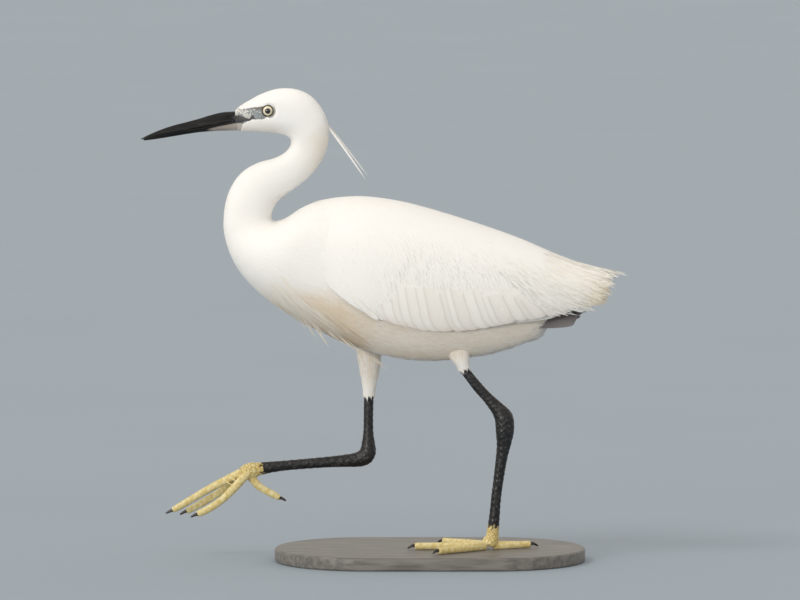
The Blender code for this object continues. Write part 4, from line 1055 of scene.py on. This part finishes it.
# ---------------------------------------------------------------- eyes
# Glass eyes with a pale yellow iris round a black pupil, under a clear domed front, each set in a
# thin dark lid of bare skin.
eye_finish, w, feed = new_finish("glass_eye", Coat_Roughness=0.02, Roughness=0.25)
where = w.node("TexCoord", out=3)
parts = w.node("SeparateXYZ", {}, {0: where})
x, z = parts - EYE.x, Wire(w.tree, parts.socket.node.outputs[2]) - EYE.z
radius = w.math("SQRT", x * x + z * z)
angle = w.math("ARCTAN2", z, x)
ray = w.node("TexNoise", {"noise_dimensions": "2D"},
    {"Vector": w.node("CombineXYZ", {}, {0: angle * 6.0, 1: radius * 300.0}), "Scale": 2.0, "Detail": 4.0})
iris = ray.band(0.3, 0.7).blend((0.74, 0.65, 0.44), (0.90, 0.83, 0.64))
iris = radius.band(0.0037, 0.0045).blend(iris, (0.50, 0.41, 0.23))
iris = radius.band(0.0045, 0.0048).blend(iris, (0.012, 0.010, 0.008))
feed("Base Color", radius.band(0.0024, 0.0027).blend((0.004, 0.003, 0.002), iris))
feed("Coat Weight", 1.0)
feed("Normal", w.bump(ray, 0.15, 0.0001))
lid_finish, w, feed = new_finish("eyelid")
fold = w.noise(1400.0, 3.0)
parts = w.node("SeparateXYZ", {}, {0: w.node("TexCoord", out=3)})
x, z = parts - EYE.x, Wire(w.tree, parts.socket.node.outputs[2]) - EYE.z
edge = w.math("SQRT", x * x + z * z)
lid = fold.band(0.35, 0.65).blend((0.010, 0.009, 0.008), (0.045, 0.038, 0.030))
feed("Base Color", edge.band(0.0054, 0.0058).blend(lid,
    fold.blend((0.20, 0.185, 0.165), (0.46, 0.43, 0.385))))
feed("Roughness", 0.40 + 0.2 * fold)
feed("Normal", w.bump(fold, 0.5, 0.0002))
# radius, thickness, lift, how much it wanes to the front
LIDS = ((0.00475, 0.00070, 0.0002, 0.0), (0.00655, 0.00130, -0.0007, 1.0))


def head_side(x, z):
    """Half width of the head at points beside the eye."""
    place, turn = (g.reshape(-1) for g in np.meshgrid(np.linspace(0.5, 5, 200), np.linspace(0.4, 2.7, 240)))
    spot = flesh(place, turn, -depth_at(place))
    return spot[np.hypot(spot[:, 0] - x[:, None], spot[:, 2] - z[:, None]).argmin(1), 1]


for name, side in (("left", -1), ("right", 1)):
    bm = bmesh.new()
    bmesh.ops.create_uvsphere(bm, u_segments=48, v_segments=32, radius=0.0052)
    bmesh.ops.rotate(bm, verts=bm.verts, cent=(0, 0, 0), matrix=Matrix.Rotation(math.pi / 2, 3, "X"))
    for vert in bm.verts:
        vert.co.y *= 1 + 0.05 * math.exp(-((math.hypot(vert.co.x,
            vert.co.z) / 0.0026) ** 2)) if vert.co.y * side > 0 else 1
    bmesh.ops.translate(bm, verts=bm.verts, vec=(EYE.x, side * EYE.y, EYE.z))
    eye = piece_of(f"eye_glass_{name}", bm, eye_finish)
    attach(eye, "root")
    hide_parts(f"eye_{name}")
    bm = bmesh.new()
    for radius, thick, lift, wane in LIDS:
        ring = bmesh.ops.create_circle(bm, segments=14, radius=thick)["verts"]
        bmesh.ops.translate(bm, verts=ring, vec=(radius, 0, 0))
        edges = [e for e in bm.edges if e.verts[0] in ring and e.verts[1] in ring]
        before = set(bm.verts) - set(ring)
        bmesh.ops.spin(bm, geom=ring + edges, cent=(0, 0, 0), axis=(0, 1, 0), angle=2 * math.pi, steps=72,
            use_merge=True)
        ring = list(set(bm.verts) - before)
        co = np.array([v.co for v in ring])
        turn = np.arctan2(co[:, 2], co[:, 0])
        line = np.stack((np.cos(turn), np.sin(turn)), -1) * radius
        size = 1 - wane * (0.55 - 0.45 * np.cos(turn + 0.6)) + 0.10 * np.sin(turn * 17) * (1 - wane)
        out = head_side(EYE.x + line[:, 0], EYE.z + line[:, 1])
        co[:, 0] = (line[:, 0] + (co[:, 0] - line[:, 0]) * size) * 1.03
        co[:, 2] = line[:, 1] + (co[:, 2] - line[:, 1]) * size
        co[:, 1] = side * (out + lift) + co[:, 1] * size
        for vert, place in zip(ring, co):
            vert.co = place
    bmesh.ops.translate(bm, verts=bm.verts, vec=(EYE.x, 0, EYE.z))
    bmesh.ops.remove_doubles(bm, verts=bm.verts, dist=1e-6)
    lid = piece_of(f"eyelid_{name}", bm, lid_finish)
    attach(lid, "root")

# ---------------------------------------------------------------- bill
# The bill is a straight dagger of two halves of black horn, with a narrow nostril in a groove near
# its root and a paler patch at the root of the lower half.
UPPER = np.array((
    (-0.1690, 0.4088, 0.3984, 0.0062),
    (-0.17205, 0.4078, 0.3980, 0.0062),
    (-0.1764, 0.4062, 0.3972, 0.0058),
    (-0.1872, 0.4053, 0.3951, 0.0051),
    (-0.1980, 0.4026, 0.3931, 0.0044),
    (-0.2088, 0.3993, 0.3911, 0.0038),
    (-0.2196, 0.3964, 0.3891, 0.0032),
    (-0.2304, 0.3936, 0.3871, 0.0025),
    (-0.2412, 0.3900, 0.3851, 0.0018),
    (-0.2520, 0.3855, 0.3830, 0.0011),
    (-0.2598, 0.3816, 0.3808, 0.0005),
))
LOWER = np.array((
    (-0.1690, 0.3981, 0.3890, 0.0063),
    (-0.17185, 0.3977, 0.3892, 0.0063),
    (-0.1764, 0.3969, 0.3890, 0.0058),
    (-0.1872, 0.3948, 0.3888, 0.0051),
    (-0.1980, 0.3928, 0.3882, 0.0044),
    (-0.2088, 0.3908, 0.3872, 0.0038),
    (-0.2196, 0.3888, 0.3856, 0.0031),
    (-0.2304, 0.3868, 0.3838, 0.0024),
    (-0.2412, 0.3848, 0.3820, 0.0017),
    (-0.2520, 0.3827, 0.3805, 0.0010),
    (-0.2575, 0.3811, 0.3800, 0.0005),
))


def bill_half(rows, up):
    def shape(u, v):
        place = np.clip((u - 0.01) / 0.98, 0, 1) * (len(rows) - 1)
        row = along_rows(rows, place)
        x, top, low, half = row.T
        flat, crown = (low, top) if up > 0 else (top + 0.00022, low)
        closing = np.clip(np.minimum(u, 1 - u) / 0.01, 0, 1)
        round_turn = np.clip(v / 0.8, 0, 1) * math.pi
        back = np.clip((v - 0.8) / 0.2, 0, 1)
        y = np.where(v < 0.8, np.cos(round_turn), -1 + 2 * back) * half
        rise = np.where(v < 0.8, np.sin(round_turn) ** 0.85, 0.0)
        if up > 0:
            # groove from the nostril forward, below the ridge
            groove = np.exp(-((rise - 0.52) / 0.12) ** 2) * np.interp(-x, (0.170, 0.176, 0.200, 0.222),
                (0, 1, 0.7, 0))
            slit = np.exp(-((x + 0.1782) / 0.0032) ** 2) * np.exp(-((rise - 0.50) / 0.09) ** 2)
            y = y * (1 - 0.10 * groove - 0.22 * slit)
        z = flat + (crown - flat) * rise
        middle = (flat + crown) / 2
        return np.stack((x, y * closing, middle + (z - middle) * closing), -1)

    return shape


bill_finish, w, feed = new_finish("black_horn", Coat_Roughness=0.22, Specular_IOR_Level=0.2)
parts = w.node("SeparateXYZ", {}, {0: w.node("TexCoord", out=3)})
x, z = parts, Wire(w.tree, parts.socket.node.outputs[2])
streak = w.noise(160.0, 4.0, (0.35, 2.0, 2.0))
fine = w.noise(900.0, 3.0, (0.3, 1.0, 1.0))
mottle = w.noise(700.0, 4.0)
horn = streak.band(0.45, 0.80).blend((0.0035, 0.0035, 0.0042), (0.022, 0.019, 0.018))
line = 0.3905 + (x + 0.2025) * 0.19
pale = (line - z).band(-0.0010, 0.0008) * x.band(-0.2090, -0.1880) * (0.75 + 0.5 * streak)
ashen = x.band(-0.1840, -0.1740).blend((0.22, 0.20, 0.185), (0.42, 0.385, 0.345))
horn = pale.band(0.25, 0.9).blend(horn, streak.band(0.2, 0.8).blend(ashen, (0.36, 0.32, 0.28)))
horn = (x.band(-0.1830, -0.1740) * mottle.band(0.5, 0.75)).blend(horn, (0.13, 0.12, 0.13))
feed("Base Color", horn)
feed("Roughness", 0.26 + 0.25 * fine)
feed("Coat Weight", 0.02 + 0.10 * streak.band(0.5, 0.8))
feed("Normal", w.bump(streak * 0.7 + fine * 0.3, 0.35, 0.0003))
for name, rows, up in (("upper", UPPER, 1), ("lower", LOWER, -1)):
    half = sheet_piece(f"bill_{name}_horn", 160, 40, bill_half(rows, up), bill_finish)
    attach(half, "root")
    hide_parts(f"bill_{name}")

# ---------------------------------------------------------------- thighs
# Short soft feathers clothe the upper leg down to the knee of bare black skin.
THIGHS = {
    "left": (
        ((0.0190, -0.0120, 0.2090), (0.0225, -0.0140, 0.2000), (0.0253, -0.0155, 0.1915),
            (0.0272, -0.0168, 0.1862), (0.0284, -0.0177, 0.1826), (0.0292, -0.0182, 0.1798)),
        (0.0108, 0.0106, 0.0098, 0.0082, 0.0066, 0.0052),
    ),
    "right": (
        ((-0.0560, 0.0160, 0.2200), (-0.0560, 0.0170, 0.2100), (-0.0550, 0.0190, 0.1920),
            (-0.0545, 0.0213, 0.1750), (-0.0546, 0.0232, 0.1620), (-0.0548, 0.0236, 0.1550),
                (-0.0549, 0.0237, 0.1520)),
        (0.0130, 0.0128, 0.0114, 0.0094, 0.0070, 0.0058, 0.0051),
    ),
}


def limb(points, radii, squash=0.85):
    """The surface of a limb: share of its length, turn round it, lift."""
    rows = np.array([(*p, r) for p, r in zip(points, radii)])

    def surface(u, turn, lift):
        u, turn, lift = np.broadcast_arrays(np.asarray(u, float), turn, lift)
        place = u * (len(rows) - 1)
        row = along_rows(rows, place)
        ahead = along_rows(rows, place + 0.02)[..., :3] - along_rows(rows, place - 0.02)[..., :3]
        ahead = unit(ahead)
        cross = np.zeros_like(ahead)
        cross[..., 1] = 1.0
        cross = unit(cross - ahead * (ahead * cross).sum(-1, keepdims=True))
        front = np.cross(ahead, cross)
        radius = (row[..., 3] + lift)[..., None]
        return row[..., :3] + front * np.cos(turn)[..., None] * radius + cross * np.sin(turn)[..., None] * radius * squash

    return surface


for name, (points, radii) in THIGHS.items():
    surface = limb(points, radii)

    def shape(u, v):
        closing = np.sin(np.clip(np.minimum(u, 1 - u) / 0.04, 0, 1) * math.pi / 2)
        middle = along_rows(np.array(points), u * (len(points) - 1))
        return middle + (surface(u, v * 2 * math.pi, -0.0012) - middle) * closing[:, None]

    thigh = sheet_piece(f"thigh_skin_{name}", 40, 28, shape, skin_finish,
        {"bare": lambda co: 0 * co[:, 0], "dark": lambda co: 0 * co[:, 0]})
    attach(thigh, "root")
    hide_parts(f"thigh_{name}")
    rng = np.random.default_rng(91)
    count = 3400
    u, turn = rng.random(count) ** 0.8 * 0.97, rng.random(count) * 2 * math.pi
    t = LIE[None]
    size = np.linalg.norm(np.diff(np.array(points), axis=0), axis=1).sum()
    p = u[:, None] + (rng.uniform(0.006, 0.013, count) / size)[:, None] * t
    beyond = np.clip(p - 0.97, 0, None) * size * rng.uniform(0.2, 0.9, (count, 1))
    p = np.minimum(p, 0.97)
    q = turn[:, None] + rng.normal(0, 0.12, count)[:, None] * t
    lift = -0.0012 + 0.0014 * np.minimum(1, 2 * t) + rng.uniform(0, 0.0003, count)[:, None] * t
    spot, normal, _, _ = frame_on(surface, p, q, lift, 0.005, 0.05)
    down_leg = unit(np.array(points[-1]) - np.array(points[-3]))
    spot = spot + down_leg * beyond[..., None]
    across = unit(np.cross(normal, unit(np.gradient(spot, axis=1))))
    wide = rng.uniform(0.0016, 0.0025, count)[:, None] * np.array((0.75, 1.0, 0.05))
    # cream stain at random, deepened at the top of the thigh as painted shade under the belly
    tint = rng.uniform(0.15, 0.45, count) * np.interp(u, (0, 0.5, 1), (2.2, 1.3, 0.5))
    lay_blades(
        f"thigh_feathers_{name}", blade_form(3, 3), spot, across, normal, wide, np.full(count, 0.00016),
        np.stack((u, turn / 2 / math.pi), -1), rng.random(count), tint, coat_finish, "white_plumage",
    )

# ---------------------------------------------------------------- legs and feet
# Thin legs of black scaly skin with knobbly heels end in yellow feet: four long toes with cross
# scales on top, pads below and a small web at their roots.
FLOOR = BASE_THICK + 0.0003
LEGS = {
    "left": (
        (
            ((0.0276, -0.0171, 0.1840), (0.0300, -0.0187, 0.1765), (0.0370, -0.0202, 0.1668),
                (0.0448, -0.0205, 0.1572),
             (0.0528, -0.0206, 0.1486), (0.0602, -0.0205, 0.1405), (0.0659, -0.0203, 0.1325),
                 (0.0672, -0.0202, 0.1255),
             (0.0672, -0.0201, 0.1180), (0.0664, -0.0198, 0.1080), (0.0648, -0.0192, 0.0980),
                 (0.0622, -0.0182, 0.0800),
             (0.0596, -0.0168, 0.0600), (0.0582, -0.0155, 0.0440), (0.0566, -0.0143, 0.0280),
                 (0.0556, -0.0137, 0.0215),
             (0.0542, -0.0133, 0.0182), (0.0532, -0.0131, 0.0150)),
            (0.0036, 0.0040, 0.0044, 0.0046, 0.0050, 0.0064, 0.0084, 0.0086, 0.0082, 0.0066, 0.0055, 0.0048,
                0.0046, 0.0048, 0.0055, 0.0063, 0.0072, 0.0062),
        ),
        {
            "inner": (((0.0500, -0.0105, 0.0150), (0.0350, 0.0030, 0.0153), (0.0230, 0.0130, 0.0153),
                (0.0130, 0.0205, 0.0153)), (0.0070, 0.0250, 0.0129)),
            "middle": (((0.0500, -0.0135, 0.0150), (0.0280, -0.0160, 0.0153), (0.0080, -0.0176, 0.0153),
                (-0.0120, -0.0185, 0.0153)), (-0.0200, -0.0188, 0.0129)),
            "outer": (((0.0505, -0.0165, 0.0150), (0.0360, -0.0320, 0.0153), (0.0220, -0.0445, 0.0153),
                (0.0085, -0.0555, 0.0153)), (0.0025, -0.0605, 0.0129)),
            "hind": (((0.0560, -0.0130, 0.0150), (0.0700, -0.0100, 0.0153), (0.0800, -0.0066, 0.0153),
                (0.0895, -0.0034, 0.0153)), (0.0975, -0.0005, 0.0129)),
        },
        FLOOR,
    ),
    "right": (
        (
            ((-0.0547, 0.0234, 0.1590), (-0.0548, 0.0236, 0.1550), (-0.0552, 0.0238, 0.1460),
                (-0.0555, 0.0240, 0.1300), (-0.0556, 0.0241, 0.1140),
             (-0.0556, 0.0241, 0.1040), (-0.0560, 0.0240, 0.0965), (-0.0590, 0.0239, 0.0918),
                 (-0.0650, 0.0237, 0.0893),
             (-0.0760, 0.0234, 0.0882), (-0.0930, 0.0230, 0.0870), (-0.1130, 0.0224, 0.0855),
                 (-0.1330, 0.0216, 0.0838),
             (-0.1470, 0.0210, 0.0822), (-0.1554, 0.0207, 0.0808), (-0.1600, 0.0204, 0.0798),
                 (-0.1660, 0.0201, 0.0778),
             (-0.1695, 0.0199, 0.0755)),
            (0.0040, 0.0044, 0.0045, 0.0044, 0.0047, 0.0062, 0.0074, 0.0078, 0.0068, 0.0058, 0.0050, 0.0047,
                0.0047, 0.0054, 0.0062, 0.0074, 0.0074, 0.0056),
        ),
        {
            "middle": (((-0.1640, 0.0202, 0.0800), (-0.1690, 0.0203, 0.0785), (-0.1845, 0.0216, 0.0705),
                (-0.1985, 0.0226, 0.0632), (-0.2120, 0.0232, 0.0552), (-0.2228, 0.0234, 0.0487),
                    (-0.2316, 0.0236, 0.0436)), (-0.2392, 0.0238, 0.0410)),
            "outer": (((-0.1640, 0.0225, 0.0770), (-0.1675, 0.0263, 0.0750), (-0.1800, 0.0320, 0.0664),
                (-0.1913, 0.0358, 0.0574), (-0.2070, 0.0388, 0.0476), (-0.2190, 0.0402, 0.0410)),
                    (-0.2268, 0.0412, 0.0376)),
            "inner": (((-0.1640, 0.0175, 0.0770), (-0.1675, 0.0142, 0.0745), (-0.1775, 0.0086, 0.0640),
                (-0.1885, 0.0040, 0.0540), (-0.2000, 0.0008, 0.0466), (-0.2088, -0.0010, 0.0426)),
                    (-0.2158, -0.0020, 0.0402)),
            "hind": (((-0.1630, 0.0200, 0.0780), (-0.1620, 0.0196, 0.0745), (-0.1560, 0.0192, 0.0668),
                (-0.1495, 0.0188, 0.0622), (-0.1425, 0.0186, 0.0584), (-0.1366, 0.0184, 0.0554)),
                    (-0.1297, 0.0180, 0.0528)),
        },
        None,
    ),
}
TOE_RADII = (0.0044, 0.0040, 0.0038, 0.0034, 0.0034, 0.0030, 0.0022)


def tube_into(bm, points, radii, columns, rows):
    """A closed round limb added to a bmesh."""
    surface = limb(points, radii, 0.9)
    made = bmesh.ops.create_grid(bm, x_segments=columns, y_segments=rows, size=0.5)["verts"]
    flat = np.array([v.co for v in made])
    u = flat[:, 0] + 0.5
    closing = np.sin(np.clip(np.minimum(u, 1 - u) / (2.0 / columns), 0, 1) * math.pi / 2)
    middle = along_rows(np.array(points), u * (len(points) - 1))
    placed = middle + (surface(u, (flat[:, 1] + 0.5) * 2 * math.pi, 0.0) - middle) * closing[:, None]
    for vert, co in zip(made, placed):
        vert.co = co
    bmesh.ops.remove_doubles(bm, verts=made, dist=1e-6)


def leg_piece(name, main, toes, floor, finish):
    """One skin over the leg and its toes: tubes fused by a remesh, then scaled."""
    bm = bmesh.new()
    tube_into(bm, *main, 120, 24)
    paths = [(np.array(main[0]), np.array(main[1]))]
    hub = Vector(main[0][-2])
    roots = {}
    for toe, (points, tip) in toes.items():
        points = np.array(points)
        way = unit(points[-1] - points[-2])
        points = np.vstack((points, points[-1] + way * 0.0012))
        radii = np.interp(np.linspace(0, 1, len(points)), np.linspace(0, 1, len(TOE_RADII)), TOE_RADII)
        tube_into(bm, points, radii, 60, 16)
        paths.append((points, radii))
        roots[toe] = points
    for a, b in (("inner", "middle"), ("middle", "outer")):
        # the web between two toes
        first, last = roots[a], roots[b]
        for k, thick in ((0.10, 0.0028), (0.15, 0.0024), (0.20, 0.0018), (0.25, 0.0012), (0.30, 0.0010)):
            p, q = (along_rows(path, np.array([k * (len(path) - 1)]))[0] for path in (first, last))
            tube_into(bm, (p, (p + q) / 2, q), (thick, thick * 0.9, thick), 12, 8)
    bmesh.ops.recalc_face_normals(bm, faces=bm.faces)
    rough = piece_of(name + "_rough", bm, finish)
    fuse = rough.modifiers.new("fuse", "REMESH")
    fuse.mode, fuse.voxel_size = "VOXEL", 0.00065
    mesh = bpy.data.meshes.new_from_object(rough.evaluated_get(bpy.context.evaluated_depsgraph_get()))
    bpy.data.objects.remove(rough)
    bm = bmesh.new()
    bm.from_mesh(mesh)
    for _ in range(4):
        bmesh.ops.smooth_vert(bm, verts=bm.verts, factor=0.5, use_axis_x=True, use_axis_y=True,
            use_axis_z=True)
    bm.normal_update()
    co = np.array([v.co for v in bm.verts])
    out = np.array([v.normal for v in bm.verts])
    # nearest place on a path: how far along it, and which way round
    along, which, up = np.zeros(len(co)), np.zeros(len(co), int), np.zeros(len(co))
    best = np.full(len(co), 1e9)
    start = 0.0
    for k, (points, radii) in enumerate(paths):
        place = np.linspace(0, len(points) - 1, 260)
        line = along_rows(np.array(points, float), place)
        thick = np.interp(place, np.arange(len(radii)), radii)
        step = np.concatenate(([0], np.cumsum(np.linalg.norm(np.diff(line, axis=0), axis=1))))
        for lo in range(0, len(co), 4000):
            part = co[lo:lo + 4000]
            gap = np.linalg.norm(part[:, None] - line[None], axis=-1) - thick[None]
            near = gap.argmin(1)
            value = gap[np.arange(len(part)), near]
            better = value < best[lo:lo + 4000]
            rows = np.arange(lo, lo + len(part))[better]
            best[rows], along[rows], which[rows] = value[better], step[near[better]], k
    length = np.linalg.norm(np.diff(np.array(main[0]), axis=0), axis=1).sum()
    on_toe = which > 0
    turn = np.arctan2(out[:, 1], np.hypot(out[:, 0], out[:, 2]) * np.sign(out[:, 0] + 1e-9))
    wave = 2 * math.pi / 0.0021
    a, b = along * wave, turn * 0.0045 * wave
    scales = np.cos(a) + np.cos(-0.5 * a + 0.866 * b) + np.cos(-0.5 * a - 0.866 * b)
    scales = np.clip((scales + 1.5) / 4.5, 0, 1) ** 0.6
    plates = np.abs(np.sin(math.pi * along / 0.0026)) ** 0.5
    topside = np.clip(out[:, 2] * 1.5, 0, 1) if floor else np.clip(out @ np.array((-0.5, 0, 0.85)) * 1.5, 0,
        1)
    knots = 0.00016 * np.sin(co[:, 2] * 1150 + turn * 2) * np.sin(co[:, 0] * 900 + 1)
    relief = np.where(on_toe, plates * topside * 0.00022 + scales * (1 - topside) * 0.00009,
        scales * 0.00020 + knots)
    co = co + out * (relief - 0.00014)[:, None]
    if floor:
        co[:, 2] = np.maximum(co[:, 2], floor)
    for vert, place in zip(bm.verts, co):
        vert.co = place
    made = piece_of(name, bm, finish)
    ragged = 0.0016 * np.sin(turn * 5 + along * 900) + 0.0012 * np.sin(turn * 9 + 2)
    yellow = np.where(on_toe, 1.0, np.clip((along + ragged - (length - 0.0205)) / 0.005, 0, 1))
    for key, value in (("yellow", yellow),
        ("relief", np.where(on_toe, 0.5 + relief / 0.0006, (relief - knots) / 0.00021)), ("along", along)):
        made.data.attributes.new(key, "FLOAT", "POINT").data.foreach_set("value", value.astype(np.float32))
    return made


leg_finish, w, feed = new_finish("leg_skin", Coat_Roughness=0.25, Specular_IOR_Level=0.35)
yellow = w.node("Attribute", {"attribute_name": "yellow"}, out=2)
relief = w.node("Attribute", {"attribute_name": "relief"}, out=2)
mottle = w.noise(330.0, 4.0)
fine = w.noise(1500.0, 3.0)
black = mottle.band(0.35, 0.75).blend((0.005, 0.005, 0.006), (0.020, 0.019, 0.020))
black = ((1 - relief) * mottle).band(0.38, 0.62).blend(black, (0.10, 0.095, 0.090))
ochre = mottle.band(0.30, 0.70).blend((0.56, 0.43, 0.15), (0.72, 0.64, 0.36))
ochre = (1 - relief).band(0.30, 0.9).blend(ochre, (0.42, 0.30, 0.09))
feed("Base Color", yellow.band(0.2, 0.8).blend(black, ochre))
feed("Roughness", 0.34 + 0.25 * fine + 0.12 * yellow)
feed("Coat Weight", 0.10 * (1 - yellow) + 0.03)
feed("Normal", w.bump(fine * 0.5 + mottle * 0.5, 0.4, 0.0002))
claw_finish, w, feed = new_finish("black_claw", Coat_Roughness=0.2)
ridge = w.noise(700.0, 3.0)
feed("Base Color", ridge.band(0.4, 0.7).blend((0.010, 0.009, 0.009), (0.075, 0.055, 0.04)))
feed("Roughness", 0.25 + 0.2 * ridge)
feed("Coat Weight", 0.3 * ridge)
feed("Normal", w.bump(ridge, 0.2, 0.0002))

for name, (main, toes, floor) in LEGS.items():
    leg = leg_piece(f"leg_{name}", main, toes, floor, leg_finish)
    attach(leg, "root")
    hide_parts(f"shin_{name}", f"tarsus_{name}", f"foot_{name}", *(f"toe_{name}_{toe}" for toe in toes))
    for toe, (points, tip) in toes.items():
        bm = bmesh.new()
        end, tip = np.array(points[-1]), np.array(tip)
        way = unit(end - np.array(points[-2]))
        size = np.linalg.norm(tip - end)
        path = (end - way * 0.0012, end + way * 0.0006, end + way * size * 0.40 + (0, 0, size * 0.08),
            (end + way * size * 0.75 + tip) / 2, tip)
        tube_into(bm, path, (0.0016, 0.0017, 0.0014, 0.0009, 0.0003), 20, 12)
        if floor:
            for vert in bm.verts:
                vert.co.z = max(vert.co.z, floor)
        nail = piece_of(f"claw_horn_{name}_{toe}", bm, claw_finish)
        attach(nail, "root")
        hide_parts(f"claw_{name}_{toe}")
